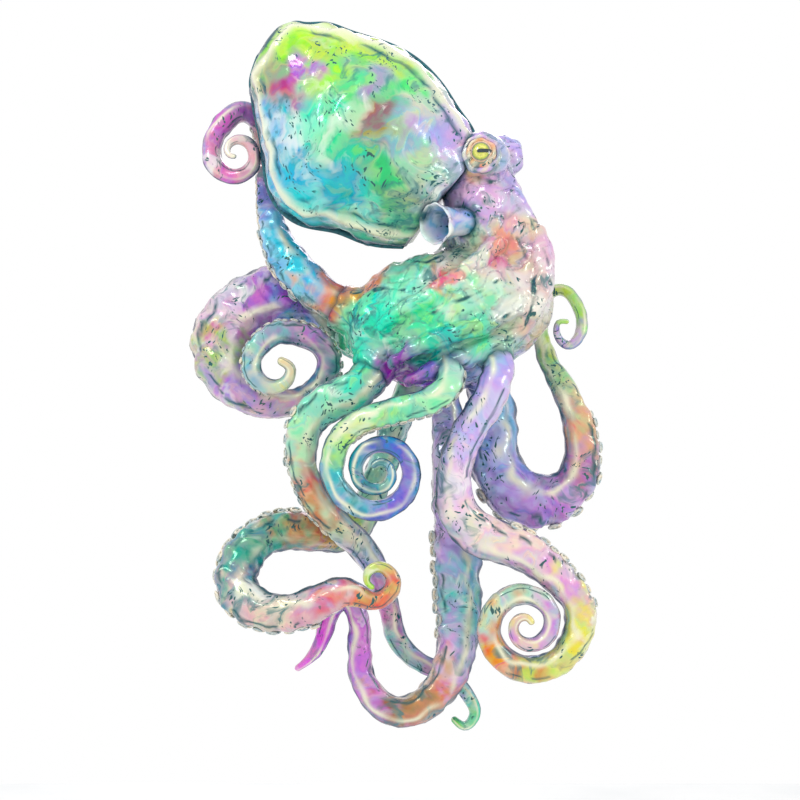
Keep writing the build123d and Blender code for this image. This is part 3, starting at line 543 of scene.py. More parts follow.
def pearl_film():
    """Pearl film: painted patches, marbled bands, pale streaks, cream streaks of painted highlight, dark
    flecks, and dark lines and creases of painted shade.

    The coat is left off where the painted shade is dark, so that it stays dark in the light.
    """
    finish, tree, shader, place = new_finish("pearl_film")

    def noise(where, scale, **shape):
        """A noise pattern's outputs."""
        shape = {key.capitalize(): value for key, value in shape.items()}
        return wire(tree, "ShaderNodeTexNoise", {"Vector": where, "Scale": scale, **shape}).outputs

    tint = wire(tree, "ShaderNodeAttribute", attribute_name="tint").outputs["Color"]
    crease = wire(tree, "ShaderNodeAttribute", attribute_name="crease").outputs["Fac"]
    ink = wire(tree, "ShaderNodeAttribute", attribute_name="ink").outputs["Fac"]
    sheen = wire(tree, "ShaderNodeAttribute", attribute_name="sheen").outputs["Fac"]
    drift = noise(place, 13.0, detail=3.0, distortion=1.2)["Color"]
    push = wire(tree, "ShaderNodeVectorMath", {0: drift, 3: 0.12}, operation="SCALE")
    warped = wire(tree, "ShaderNodeVectorMath", {0: place, 1: push.outputs[0]}, operation="ADD").outputs[0]
    marble = noise(warped, 10.0, detail=2.5, roughness=0.5)["Fac"]
    bands = ramp(tree, marble, [
        (0.28, (20, 120, 140)), (0.38, (80, 225, 190)), (0.45, (250, 250, 230)), (0.5, (245, 175, 215)),
        (0.55, (170, 140, 235)), (0.6, (120, 215, 240)), (0.66, (240, 235, 130)), (0.74, (225, 110, 120)),
    ])
    colour = blend_colour(tree, 0.2, tint, bands)
    tuned = {"Saturation": 1.22, "Value": 0.92, "Color": colour}
    colour = wire(tree, "ShaderNodeHueSaturation", tuned).outputs[0]
    # near-white pearly streaks laid at random by noise, which also serve as painted highlights
    pale = noise(warped, 6.0, detail=2.0, distortion=1.2)["Fac"]
    colour = blend_colour(tree, scaled(tree, pale, 0.56, 0.72, 0, 0.7), colour, (0.93, 0.94, 0.84, 1))
    deep = noise(warped, 10.0, detail=4.0, distortion=1.5)["Fac"]
    shade = scaled(tree, deep, 0.42, 0.31, 0, 0.8)
    colour = blend_colour(tree, shade, colour, (0.02, 0.16, 0.19, 1))
    # painted highlight: blends to cream by the stored highlight value
    colour = blend_colour(tree, sheen, colour, (0.86, 0.84, 0.62, 1))
    long_flecks = wire(tree, "ShaderNodeMapping", {"Vector": warped, "Scale": (1.0, 1.0, 0.38)})
    long_flecks.inputs["Rotation"].default_value = (0, 0.75, 0)
    flecks = wire(tree, "ShaderNodeTexVoronoi", {"Vector": long_flecks.outputs[0], "Scale": 85.0})
    dots = scaled(tree, flecks.outputs["Distance"], 0.30, 0.22)
    where = noise(place, 15.0, detail=1.0)["Fac"]
    dots = combine(tree, "MULTIPLY", dots, scaled(tree, where, 0.50, 0.55))
    colour = blend_colour(tree, dots, colour, (0.01, 0.09, 0.11, 1))
    # painted shade: the crease shade and the dark shade lines turn the colour dark teal
    crease_shaded, line_shaded = scaled(tree, crease, 0.15, 0.85, 0, 0.92), scaled(tree, ink, 0.1, 0.8, 0, 0.95)
    shade_mask = combine(tree, "MAXIMUM", crease_shaded, line_shaded)
    colour = blend_colour(tree, shade_mask, colour, (0.012, 0.085, 0.115, 1))
    tree.links.new(colour, shader.inputs["Base Color"])
    tree.links.new(scaled(tree, shade_mask, 0, 1, 0.6, 0.05), shader.inputs["Coat Weight"])
    tree.links.new(scaled(tree, marble, 0.3, 0.7, 0.14, 0.3), shader.inputs["Roughness"])
    fine = noise(warped, 110.0, detail=4.0)["Fac"]
    relief = combine(tree, "ADD", combine(tree, "MULTIPLY", fine, 0.35), marble)
    relief = combine(tree, "SUBTRACT", relief, combine(tree, "MULTIPLY", dots, 0.5))
    bump = wire(tree, "ShaderNodeBump", {"Height": relief, "Strength": 0.3, "Distance": 0.004})
    tree.links.new(bump.outputs[0], shader.inputs["Normal"])
    shader.inputs["Metallic"].default_value = 0.12
    shader.inputs["Coat Roughness"].default_value = 0.06
    shader.inputs["Thin Film Thickness"].default_value = 420.0
    shader.inputs["Thin Film IOR"].default_value = 1.35
    return finish


def grained(name, low, high, scale, roughness, metallic=0.0, stretch=(1, 1, 1), bump=0.0006, coat=0.0):
    """Two-tone grained finish for cups, plastics, metals and rods."""
    finish, tree, shader, place = new_finish(name)
    laid = wire(tree, "ShaderNodeMapping", {"Vector": place, "Scale": stretch}).outputs[0]
    grain = wire(tree, "ShaderNodeTexNoise", {
        "Vector": laid, "Scale": scale, "Detail": 6.0, "Distortion": 0.4})
    tree.links.new(ramp(tree, grain.outputs["Fac"], [(0.35, low), (0.65, high)]), shader.inputs["Base Color"])
    gloss = scaled(tree, grain.outputs["Fac"], 0.3, 0.7, roughness * 0.8, roughness * 1.25)
    tree.links.new(gloss, shader.inputs["Roughness"])
    relief = wire(tree, "ShaderNodeBump", {"Height": grain.outputs["Fac"], "Strength": 0.5, "Distance": bump})
    tree.links.new(relief.outputs[0], shader.inputs["Normal"])
    shader.inputs["Metallic"].default_value = metallic
    shader.inputs["Coat Weight"].default_value = coat
    return finish


def pale_floor():
    """Matt white floor with a very faint mottle."""
    finish, tree, shader, place = new_finish("pale_floor")
    mottle = wire(tree, "ShaderNodeTexNoise", {"Vector": place, "Scale": 3.0, "Detail": 2.0})
    tree.links.new(ramp(tree, mottle.outputs["Fac"], [(0.3, (236, 237, 238)), (0.7, (244, 244, 244))]),
                   shader.inputs["Base Color"])
    shader.inputs["Roughness"].default_value = 0.9
    return finish


# ---------------------------------------------------------------- arms
def tube(name, rings, closed_start, closed_end):
    """Skin through rings of points, with a fan over each closed end."""
    rows, columns = rings.shape[:2]
    points = [tuple(p) for p in rings.reshape(-1, 3)]
    faces = []
    for row in range(rows - 1):
        for column in range(columns):
            after = (column + 1) % columns
            low, high = row * columns, (row + 1) * columns
            faces.append((low + column, low + after, high + after, high + column))
    for row, closed, flip in ((0, closed_start, False), (rows - 1, closed_end, True)):
        if closed:
            middle = len(points)
            points.append(tuple(rings[row].mean(axis=0)))
            for column in range(columns):
                after = (column + 1) % columns
                edge = (row * columns + column, row * columns + after)
                faces.append((middle, *edge) if flip else (middle, *reversed(edge)))
    return mesh_piece(name, points, faces, smooth=True)


def face_outwards(piece, merge=False):
    """Turns a closed piece's faces outwards, after merging its doubled points if it has any."""
    shell = bmesh.new()
    shell.from_mesh(piece.data)
    if merge:
        bmesh.ops.remove_doubles(shell, verts=shell.verts, dist=1e-6)
    bmesh.ops.recalc_face_normals(shell, faces=shell.faces)
    shell.to_mesh(piece.data)
    shell.free()
    piece.data.polygons.foreach_set("use_smooth", [True] * len(piece.data.polygons))


TIP_RINGS = 5  # rings that round off an arm's tip
CURL_BACK = ("arm_2", "arm_5")  # arms that curl back past their own hinge, so their root is a piece apart
BLEND_BEFORE, BLEND_AFTER = 0.02, 0.03  # stretch before and after a hinge; a curled-back arm's root piece ends just past it
ROOT_PAINT, ROOT_FADE = 0.06, 0.07  # where the crown's paint ends on an arm, and how softly


def make_arm(name, film):
    """Skin of one arm, in one piece or with its root apart, plus the places of its cups."""
    rings, centre, girth, tangent, share, length, hinge, normal, angle = arm_rings(name)
    hinge_n, normal_n = np.array(hinge), np.array(normal)
    flat = rings.reshape(-1, 3)
    outward = flat - np.repeat(centre, RING_VERTS, axis=0)
    outward /= np.linalg.norm(outward, axis=1)[:, None]
    swell = 0.055 * waves(flat, 0.055, 21) + 0.028 * waves(flat, 0.022, 22)  # shares of the radius
    flat = flat + outward * (swell * np.repeat(girth, RING_VERTS))[:, None]
    rings = flat.reshape(rings.shape)
    tip, aim, width = centre[-1], tangent[-1], girth[-1]
    dome = []
    for turn in np.linspace(0.25, 1.4, TIP_RINGS):
        middle = tip + aim * width * sin(turn)
        dome.append(middle + (rings[-1] - tip) * cos(turn))
    rings = np.concatenate([rings, np.array(dome)])
    share_all = np.concatenate([share, np.ones(TIP_RINGS)])
    rows = len(rings)
    reach = (rings - hinge_n) @ normal_n
    flat = rings.reshape(-1, 3)
    colours, ink, sheen = arm_colours(name, flat, np.repeat(share_all, RING_VERTS), np.tile(angle, rows))
    root_share = np.clip(1 - (np.repeat(share_all, RING_VERTS) * length - ROOT_PAINT) / ROOT_FADE, 0, 1)
    colours = colours * (1 - root_share[:, None]) + patch_colours(flat) * root_share[:, None]
    layers = np.column_stack([colours, ink, sheen]).reshape(rows, RING_VERTS, 5)
    cut = 0
    if name in CURL_BACK:
        cut = next(row for row in range(rows) if reach[row].min() > BLEND_AFTER)
    spans = [("skin", cut, rows)]
    if cut:
        spans.append(("root", 0, cut + 1))
    pieces = []
    for part, first, last in spans:
        piece = tube(f"{name}_{part}_film", rings[first:last], True, True)
        caps = len(piece.data.vertices) - (last - first) * RING_VERTS
        paint = layers[first:last].reshape(-1, 5)
        paint = np.concatenate([paint, paint[:1], paint[-1:]]) if caps == 2 else paint
        face_outwards(piece)
        if cut:
            sharpen_cap(piece, 0 if part == "skin" else last - first - 1)
        put_colour(piece, paint[:, :3])
        put_value(piece, "ink", paint[:, 3])
        put_value(piece, "sheen", paint[:, 4])
        piece.data.materials.append(film)
        pieces.append((piece, part))
    start = Vector(hinge) - Vector(normal) * BLEND_BEFORE
    end = Vector(hinge) + Vector(normal) * BLEND_AFTER
    low, high = arms[name]["suckers"]
    return pieces, start, end, cup_places(rings, centre, girth, share, length, low, high)


def sharpen_cap(piece, row):
    """Keeps the rim of a hidden cap from bending the light on the skin beside it."""
    first = row * RING_VERTS
    rim = range(first, first + RING_VERTS)
    for edge in piece.data.edges:
        if edge.vertices[0] in rim and edge.vertices[1] in rim:
            edge.use_edge_sharp = True


CUP_SIZES = (0.30, 0.26)  # shares of the arm's radius, one row after the other
CUP_ANGLE, CUP_PITCH, CUP_SUNK = 0.36, 0.62, 0.12


def cup_places(rings, centre, girth, share, length, low, high):
    """Places, facings and sizes of the two rows of cups down an arm's inner side."""
    places, facings, sizes = [], [], []
    run = share * length
    place, row = low * length, 0
    while place < high * length:
        index = int(np.searchsorted(run, place))
        size = girth[index] * CUP_SIZES[row % 2]
        for sign in (-1, 1):
            column = int(round(sign * CUP_ANGLE / (2 * pi) * RING_VERTS)) % RING_VERTS
            spot = rings[index][column]
            facing = spot - centre[index]
            facing /= np.linalg.norm(facing)
            places.append(spot - facing * size * CUP_SUNK)
            facings.append(facing)
            sizes.append(size)
        place += girth[index] * CUP_PITCH
        row += 1
    return places, facings, sizes


def cup_tree():
    """Geometry nodes: a flared cup with a rolled rim on every point, sized and turned by the point."""
    tree = bpy.data.node_groups.new("cup_rows", "GeometryNodeTree")
    inputs = (("Points", "Geometry"), ("Rim radius", "Float"), ("Rim thickness", "Float"),
              ("Cup height", "Float"), ("Finish", "Material"))
    for label, kind in inputs:
        tree.interface.new_socket(name=label, in_out="INPUT", socket_type="NodeSocket" + kind)
    tree.interface.new_socket(name="Cups", in_out="OUTPUT", socket_type="NodeSocketGeometry")
    given = tree.nodes.new("NodeGroupInput")
    made = tree.nodes.new("NodeGroupOutput")
    circle = wire(tree, "GeometryNodeCurvePrimitiveCircle", {
        "Radius": given.outputs["Rim radius"], "Resolution": 18})
    section = wire(tree, "GeometryNodeCurvePrimitiveCircle", {
        "Radius": given.outputs["Rim thickness"], "Resolution": 7})
    rim = wire(tree, "GeometryNodeCurveToMesh", {
        "Curve": circle.outputs[0], "Profile Curve": section.outputs[0]})
    raised = wire(tree, "ShaderNodeCombineXYZ", {"Z": given.outputs["Cup height"]})
    rim_up = wire(tree, "GeometryNodeTransform", {
        "Geometry": rim.outputs[0], "Translation": raised.outputs[0]})
    stem = wire(tree, "GeometryNodeMeshCone", {
        "Vertices": 18, "Side Segments": 2, "Radius Top": given.outputs["Rim radius"],
        "Radius Bottom": 0.62, "Depth": given.outputs["Cup height"]})
    bowl = wire(tree, "GeometryNodeMeshUVSphere", {"Segments": 12, "Rings": 6, "Radius": 0.34})
    button = wire(tree, "GeometryNodeTransform", {
        "Geometry": bowl.outputs[0], "Translation": raised.outputs[0], "Scale": (1.0, 1.0, 0.45)})
    cup = wire(tree, "GeometryNodeJoinGeometry")
    for source in (rim_up, stem, button):
        tree.links.new(source.outputs[0], cup.inputs[0])
    facing = wire(tree, "GeometryNodeInputNamedAttribute", {"Name": "facing"}, data_type="FLOAT_VECTOR")
    size = wire(tree, "GeometryNodeInputNamedAttribute", {"Name": "size"}, data_type="FLOAT")
    turn = wire(tree, "FunctionNodeAlignRotationToVector", {"Vector": facing.outputs[0]}, axis="Z")
    stood = wire(tree, "GeometryNodeInstanceOnPoints", {
        "Points": given.outputs["Points"], "Instance": cup.outputs[0],
        "Rotation": turn.outputs[0], "Scale": size.outputs[0]})
    real = wire(tree, "GeometryNodeRealizeInstances", {"Geometry": stood.outputs[0]})
    soft = wire(tree, "GeometryNodeSetShadeSmooth", {"Geometry": real.outputs[0]})
    done = wire(tree, "GeometryNodeSetMaterial", {
        "Geometry": soft.outputs[0], "Material": given.outputs["Finish"]})
    tree.links.new(done.outputs[0], made.inputs[0])
    return tree


def make_cups(name, facts, tree, finish):
    """One arm's cups as a plain mesh."""
    places, facings, sizes = facts
    piece = mesh_piece(f"{name}_cups", places, [])
    layer = piece.data.attributes.new("facing", "FLOAT_VECTOR", "POINT")
    layer.data.foreach_set("vector", np.array(facings, np.float32).ravel())
    put_value(piece, "size", sizes)
    rows = piece.modifiers.new("cup_rows", "NODES")
    rows.node_group = tree
    wanted = {"Rim radius": 0.86, "Rim thickness": 0.2, "Cup height": 0.42, "Finish": finish}
    for socket in tree.interface.items_tree:
        if socket.in_out == "INPUT" and socket.name in wanted:
            rows[socket.identifier] = wanted[socket.name]
    bpy.context.view_layer.update()
    bake_modifiers(piece)
    return piece


# ---------------------------------------------------------------- mantle
MANTLE_APEX = (-0.372, 0.554)
MANTLE_SLOPE = -38.2
MANTLE_FLATNESS = 0.84
MANTLE_COLUMNS = 160
mantle_sections = [
    (0.006, 0.004, 0.030), (0.018, 0.0, 0.060), (0.038, -0.006, 0.082), (0.068, -0.008, 0.108),
    (0.116, -0.018, 0.138), (0.186, -0.038, 0.184), (0.250, -0.042, 0.203), (0.300, -0.038, 0.198),
    (0.354, -0.030, 0.178), (0.400, -0.031, 0.163), (0.440, -0.028, 0.148), (0.480, -0.026, 0.122),
]


def make_mantle(film):
    """Mantle skin with a raised welt inside its edge painted with a cream highlight, dark lines of painted
    shade along its edge and just inside the welt, dents and wrinkles.
    """
    slope = radians(MANTLE_SLOPE)
    run = np.array([cos(slope), 0, sin(slope)])
    across = np.array([-sin(slope), 0, cos(slope)])
    top = np.array(at(MANTLE_APEX[0], 0, MANTLE_APEX[1]))
    table = np.array(mantle_sections)
    rows, columns = 120, MANTLE_COLUMNS
    place = table[0, 0] + (table[-1, 0] - table[0, 0]) * np.linspace(0, 1, rows) ** 1.35
    read = natural_spline(table[:, 0], table[:, 1:], place)
    shift, half = read[:, 0], np.maximum(read[:, 1], 0.02)
    angle = np.linspace(0, 2 * pi, columns, endpoint=False)
    rings = (top + run * place[:, None] + across * shift[:, None])[:, None, :]
    rings = rings + (half[:, None] * np.cos(angle))[:, :, None] * across
    rings = rings + (half[:, None] * MANTLE_FLATNESS * np.sin(angle))[:, :, None] * DEPTH
    flat = rings.reshape(-1, 3)
    inside = (half[:, None] * (1 - np.abs(np.cos(angle)))).ravel()
    from_top = np.repeat(place, columns)
    inside = np.minimum(inside, np.maximum(from_top - 0.012, 0) * 0.9)
    welt = np.exp(-(((inside - 0.022 - 0.003 * waves(flat, 0.08, 31)) / 0.0065) ** 2))
    piece = tube("mantle_skin", rings, True, True)
    face_outwards(piece)
    normals = normals_of(piece)
    points = points_of(piece)
    count = rows * columns
    lift = 0.0060 * welt + 0.0030 * waves(flat, 0.085, 32) + 0.0016 * waves(flat, 0.035, 33)
    furrow = np.abs(waves(flat, 0.05, 34))
    lift -= 0.0022 * np.exp(-((furrow / 0.12) ** 2))
    points[:count] += normals[:count] * lift[:, None]
    set_points(piece, points)
    colours = patch_colours(points)
    # painted shade: a broken dark line just inside the welt, where no groove is modelled, and a dark line
    # along the edge as seen from the front
    groove_shade = 0.8 * np.exp(-(((inside - 0.037) / 0.004) ** 2)) * np.clip(0.5 + waves(flat, 0.06, 35), 0, 1)
    ink, sheen = np.zeros(len(points)), np.zeros(len(points))
    ink[:count] = np.maximum(groove_shade, np.exp(-((inside / 0.004) ** 2)))
    # painted highlight: cream along the top of the welt
    sheen[:count] = 0.95 * welt
    put_colour(piece, colours)
    put_value(piece, "ink", ink)
    put_value(piece, "sheen", sheen)
    piece.data.materials.append(film)
    return piece, rings, across


def make_weld_tape(rings, across, finish):
    """The welded seam that runs round the mantle's edge, one strip down each side."""
    strips = []
    for number, (column, sign) in enumerate(((0, 1), (MANTLE_COLUMNS // 2, -1))):
        edge = rings[:, column]
        out = across * sign
        section = [(-0.006, -0.002), (0.002, -0.0021), (0.006, -0.0014), (0.0068, 0),
                   (0.006, 0.0014), (0.002, 0.0021), (-0.006, 0.002)]
        strip = [edge + out * width + DEPTH * deep for width, deep in section]
        piece = tube(f"mantle_weld_{number + 1}", np.stack(strip, axis=1), True, True)
        face_outwards(piece)
        piece.data.materials.append(finish)
        strips.append(piece)
    return strips


# ---------------------------------------------------------------- crown, head and eye mounds
def hoop(middle, axis, width, columns):
    """A ring of points about an axis."""
    one = axis.orthogonal().normalized()
    two = axis.cross(one)
    return [list(middle + (one * cos(t) + two * sin(t)) * width)
            for t in np.linspace(0, 2 * pi, columns, endpoint=False)]


def oval(centre, axis, half_length, radius, rows=40, columns=48):
    """A smooth egg about its axis, as rings of points."""
    axis = Vector(axis).normalized()
    rings = []
    for row in range(1, rows):
        turn = pi * row / rows
        rings.append(hoop(Vector(centre) - axis * half_length * cos(turn), axis, radius * sin(turn), columns))
    return np.array(rings)


FAIRING_WIDE, FAIRING_NARROW = 1.62, 1.16  # shares of the arm's radius, at the crown and at the end
FAIRING_PAST = 0.012  # how far a fairing runs past its hinge


def stub_rings(name):
    """The fairing from the crown to just past an arm's hinge."""
    centre, girth, tangent, share, length = arm_line(name)[:5]
    run = share * length
    count = int((run < ROOT_DEEP + HINGE_OFF + FAIRING_PAST).sum())
    swell = FAIRING_WIDE - (FAIRING_WIDE - FAIRING_NARROW) * np.linspace(0, 1, count)
    rings = []
    for index in range(count):
        width = min(girth[index], arms[name]["girth"] * 1.12) * swell[index]
        rings.append(hoop(Vector(centre[index]), Vector(tangent[index]), width, 28))
    return np.array(rings)


def fold_rings(route, widths):
    """A long low swelling over the skin, through a few points."""
    values = np.array([[*at(*p), w] for p, w in zip(route, widths)])
    knots = np.arange(len(values), dtype=float)
    line = natural_spline(knots, values, np.linspace(0, knots[-1], 12 * len(values)))
    tangent = np.gradient(line[:, :3], axis=0)
    rings = []
    for point, aim in zip(line, tangent):
        rings.append(hoop(Vector(point[:3]), Vector(aim).normalized(), max(point[3], 0.002), 16))
    return np.array(rings)


body_folds = [  # route (x, depth, z) and radii of swellings on the crown and head
    ([(0.15, -0.085, -0.03), (0.06, -0.118, -0.075), (-0.02, -0.118, -0.11), (-0.09, -0.10, -0.135)],
     (0.018, 0.021, 0.020, 0.012)),
    ([(0.16, -0.085, 0.02), (0.07, -0.128, -0.02), (-0.03, -0.132, -0.055), (-0.12, -0.108, -0.10)],
     (0.016, 0.020, 0.020, 0.012)),
    ([(0.10, -0.078, 0.15), (0.02, -0.118, 0.07), (-0.06, -0.128, 0.02), (-0.14, -0.11, -0.03)],
     (0.020, 0.020, 0.019, 0.012)),
    ([(0.172, -0.05, 0.17), (0.19, -0.07, 0.09), (0.16, -0.09, 0.0), (0.11, -0.09, -0.07)],
     (0.020, 0.024, 0.022, 0.014)),
    ([(0.12, -0.066, 0.25), (0.152, -0.05, 0.20), (0.166, -0.05, 0.13), (0.15, -0.075, 0.06)],
     (0.016, 0.020, 0.018, 0.012)),
    ([(-0.02, 0.03, 0.09), (0.002, 0.034, 0.14), (0.014, 0.034, 0.19), (0.03, 0.034, 0.24)],
     (0.020, 0.020, 0.022, 0.020)),
    ([(0.15, 0.085, -0.03), (0.06, 0.116, -0.07), (-0.03, 0.112, -0.10), (-0.10, 0.09, -0.13)],
     (0.018, 0.021, 0.020, 0.012)),
    ([(-0.02, 0.122, 0.06), (-0.09, 0.12, 0.03), (-0.15, 0.10, -0.02), (-0.17, 0.085, -0.07)],
     (0.018, 0.020, 0.018, 0.012)),
]
HEAD_CENTRE, HEAD_LEAN, HEAD_LONG, HEAD_ROUND = (0.084, 0, 0.200), -69, 0.150, 0.082
MELT_SIZE, MELT_ROUNDS = 0.0037, 20  # grain of the joined skin, and how often it is smoothed
near_mound = (0.070, -0.046, 0.312, 0.054)  # x, depth, z, radius
far_mound = (0.112, 0.034, 0.322, 0.047)


shaded_groove_lines = [  # dark strokes of painted shade along shallow grooves on the front of the crown and head: x, z
    [(0.150, -0.030), (0.080, -0.072), (0.0, -0.118), (-0.075, -0.142)],
    [(0.172, 0.030), (0.100, -0.012), (0.020, -0.052), (-0.060, -0.090), (-0.125, -0.112)],
    [(0.125, 0.085), (0.050, 0.038), (-0.030, 0.002), (-0.105, -0.028)],
    [(-0.192, 0.046), (-0.145, 0.052), (-0.090, 0.047)],
    [(-0.165, 0.086), (-0.100, 0.112), (-0.030, 0.104), (0.006, 0.135)],
    [(0.108, 0.195), (0.150, 0.125), (0.166, 0.050), (0.150, -0.030)],
    [(0.120, 0.250), (0.166, 0.190), (0.192, 0.120), (0.202, 0.060)],
    [(-0.010, -0.060), (-0.070, -0.092), (-0.120, -0.088)],
    [(0.040, 0.285), (0.070, 0.262), (0.104, 0.268)],
]


def line_shade_share(points):
    """How much painted shade from a dark stroke lies on each point, tapering towards the stroke's ends."""
    share = np.zeros(len(points))
    sway = 0.003 * waves(points, 0.05, 44)
    broken = np.clip(0.55 + 0.8 * waves(points, 0.06, 45), 0, 1)
    for route in shaded_groove_lines:
        route = np.array(route)
        fine = natural_spline(np.arange(len(route), dtype=float), route, np.linspace(0, len(route) - 1, 90))
        gaps = np.linalg.norm(points[:, None, [0, 2]] - fine[None], axis=2)
        nearest = gaps.argmin(axis=1)
        width = 0.0036 * np.sin(pi * (nearest + 6) / 101) ** 0.5
        share = np.maximum(share, np.exp(-(((gaps.min(axis=1) + sway) / width) ** 2)))
    return share * broken


def make_crown(film):
    """Crown, head, mounds, folds and arm fairings melted into one skin, then wrinkled."""
    tilt, lean = radians(CROWN_TILT), radians(HEAD_LEAN)
    shells = [
        oval(at(0, 0, 0), (cos(tilt), 0, sin(tilt)), CROWN_LONG, CROWN_ROUND),
        oval(at(*HEAD_CENTRE), (cos(lean), 0, sin(lean)), HEAD_LONG, HEAD_ROUND),
    ]
    for x, depth, z, radius in (near_mound, far_mound):
        shells.append(oval(at(x, depth, z), (1, 0, 0), radius, radius))
    shells += [stub_rings(name) for name in arms]
    shells += [fold_rings(route, widths) for route, widths in body_folds]
    points, faces = [], []
    for rings in shells:
        part = tube("crown_part", rings, True, True)
        face_outwards(part)
        base = len(points)
        points += [tuple(v.co) for v in part.data.vertices]
        faces += [tuple(base + i for i in face.vertices) for face in part.data.polygons]
        mesh = part.data
        bpy.data.objects.remove(part)
        bpy.data.meshes.remove(mesh)
    piece = mesh_piece("crown_and_head_skin", points, faces)
    melt = piece.modifiers.new("melt", "REMESH")
    melt.mode, melt.voxel_size, melt.use_smooth_shade = "VOXEL", MELT_SIZE, True
    ease = piece.modifiers.new("ease", "SMOOTH")
    ease.factor, ease.iterations = 0.5, MELT_ROUNDS
    bake_modifiers(piece)
    points, normals = points_of(piece), normals_of(piece)
    lift = 0.0024 * waves(points, 0.07, 41) + 0.0013 * waves(points, 0.03, 42)
    furrow = np.abs(waves(points * (1, 1, 1.6), 0.06, 43))
    lift -= 0.003 * np.exp(-((furrow / 0.10) ** 2))
    ink = line_shade_share(points)
    lift -= 0.0022 * ink
    points += normals * lift[:, None]
    set_points(piece, points)
    colours = patch_colours(points)
    # painted shade: darker teal in the bottoms of the furrows
    colours = mix(colours, TEAL_LINE, 0.45 * np.exp(-((furrow / 0.09) ** 2)))
    put_colour(piece, colours)
    put_value(piece, "ink", ink)
    piece.data.materials.append(film)
    return piece


# ---------------------------------------------------------------- eyes and siphon
EYE_RADIUS, EYE_PROUD = 0.027, 0.015


def eye_facts(mound, side):
    """The way an eye looks, and its centre on its mound."""
    look = Vector((-0.12, side, 0.1)).normalized()
    centre = at(mound[0], mound[1], mound[2])
    return look, centre + look * (mound[3] - EYE_RADIUS + EYE_PROUD)


def lathe_rings(centre, look, profile, columns=48):
    """Rings about a look line from (distance, radius) pairs."""
    return np.array([hoop(centre + look * distance, look, radius, columns) for distance, radius in profile])


def eye_finish():
    """Yellow iris with fine spokes inside a pearly ball."""
    finish, tree, shader, place = new_finish("iris_enamel")
    tint = wire(tree, "ShaderNodeAttribute", attribute_name="tint").outputs["Color"]
    spokes = wire(tree, "ShaderNodeTexNoise", {"Vector": place, "Scale": 260.0, "Detail": 3.0})
    shade = scaled(tree, spokes.outputs["Fac"], 0.35, 0.65, 0.72, 1.1)
    colour = blend_colour(tree, 1.0, tint, shade, "MULTIPLY")
    tree.links.new(colour, shader.inputs["Base Color"])
    height = {"Height": spokes.outputs["Fac"], "Strength": 0.2, "Distance": 0.001}
    relief = wire(tree, "ShaderNodeBump", height)
    tree.links.new(relief.outputs[0], shader.inputs["Normal"])
    shader.inputs["Roughness"].default_value = 0.1
    shader.inputs["Coat Weight"].default_value = 1.0
    shader.inputs["Coat Roughness"].default_value = 0.03
    return finish


def make_eye(name, mound, side, iris_finish, film):
    """Eyeball with a domed iris, and a double fold of lid round it."""
    look, centre = eye_facts(mound, side)
    profile = [(-0.6, 0.8)]
    profile += [(-cos(t), sin(t)) for t in np.linspace(1.0, pi - 0.80, 26)]
    profile += [(0.735, 0.66), (0.775, 0.60), (0.84, 0.52), (0.90, 0.42)]
    profile += [(0.945, 0.30), (0.968, 0.16), (0.975, 0.04)]
    scaled_profile = [(d * EYE_RADIUS, r * EYE_RADIUS) for d, r in profile]
    ball = tube(f"{name}_eyeball", lathe_rings(centre, look, scaled_profile), True, True)
    face_outwards(ball)
    points = points_of(ball) - np.array(centre)
    ahead = points @ np.array(look)
    away = np.linalg.norm(points - ahead[:, None] * np.array(look), axis=1) / EYE_RADIUS
    colours = np.tile(linear((238, 226, 205)), (len(points), 1))
    colours = mix(colours, (235, 190, 150), np.clip((1.0 - away) * 3, 0, 1) * (ahead > 0))
    colours = mix(colours, (196, 208, 60), (away < 0.64) * (ahead > 0) * 1.0)
    colours = mix(colours, (240, 232, 120), np.exp(-(((away - 0.36) / 0.1) ** 2)) * (ahead > 0))
    colours = mix(colours, TEAL_LINE, np.exp(-(((away - 0.64) / 0.045) ** 2)) * (ahead > 0))
    put_colour(ball, colours)
    ball.data.materials.append(iris_finish)
    lids = []
    one = look.orthogonal().normalized()
    two = look.cross(one)
    for part, ahead_share, wide, thick, colour in (
        ("inner_lid", 0.50, 0.93, 0.0048, (240, 170, 130)),
        ("outer_lid", 0.22, 1.20, 0.0062, (205, 180, 230)),
    ):
        rings = []
        for t in np.linspace(0, 2 * pi, 72, endpoint=False):
            spread = wide * (1 + 0.045 * sin(3 * t + 0.6) + 0.03 * sin(7 * t))
            heavy = thick * (1 + 0.35 * sin(t + 0.9) + 0.12 * sin(5 * t))
            out = one * cos(t) + two * sin(t)
            middle = centre + look * EYE_RADIUS * ahead_share + out * EYE_RADIUS * spread
            rings.append([middle + (out * cos(a) + look * sin(a)) * heavy
                          for a in np.linspace(0, 2 * pi, 16, endpoint=False)])
        rings = np.array([[list(p) for p in ring] for ring in rings])
        rings = np.concatenate([rings, rings[:1]])
        lid = tube(f"{name}_{part}", rings, False, False)
        face_outwards(lid, merge=True)
        points = points_of(lid)
        colours = np.tile(linear(colour), (len(points), 1))
        colours = mix(colours, (250, 235, 215), 0.4 + 0.4 * waves(points, 0.02, 51))
        put_colour(lid, colours)
        lid.data.materials.append(film)
        lids.append(lid)
    return ball, lids


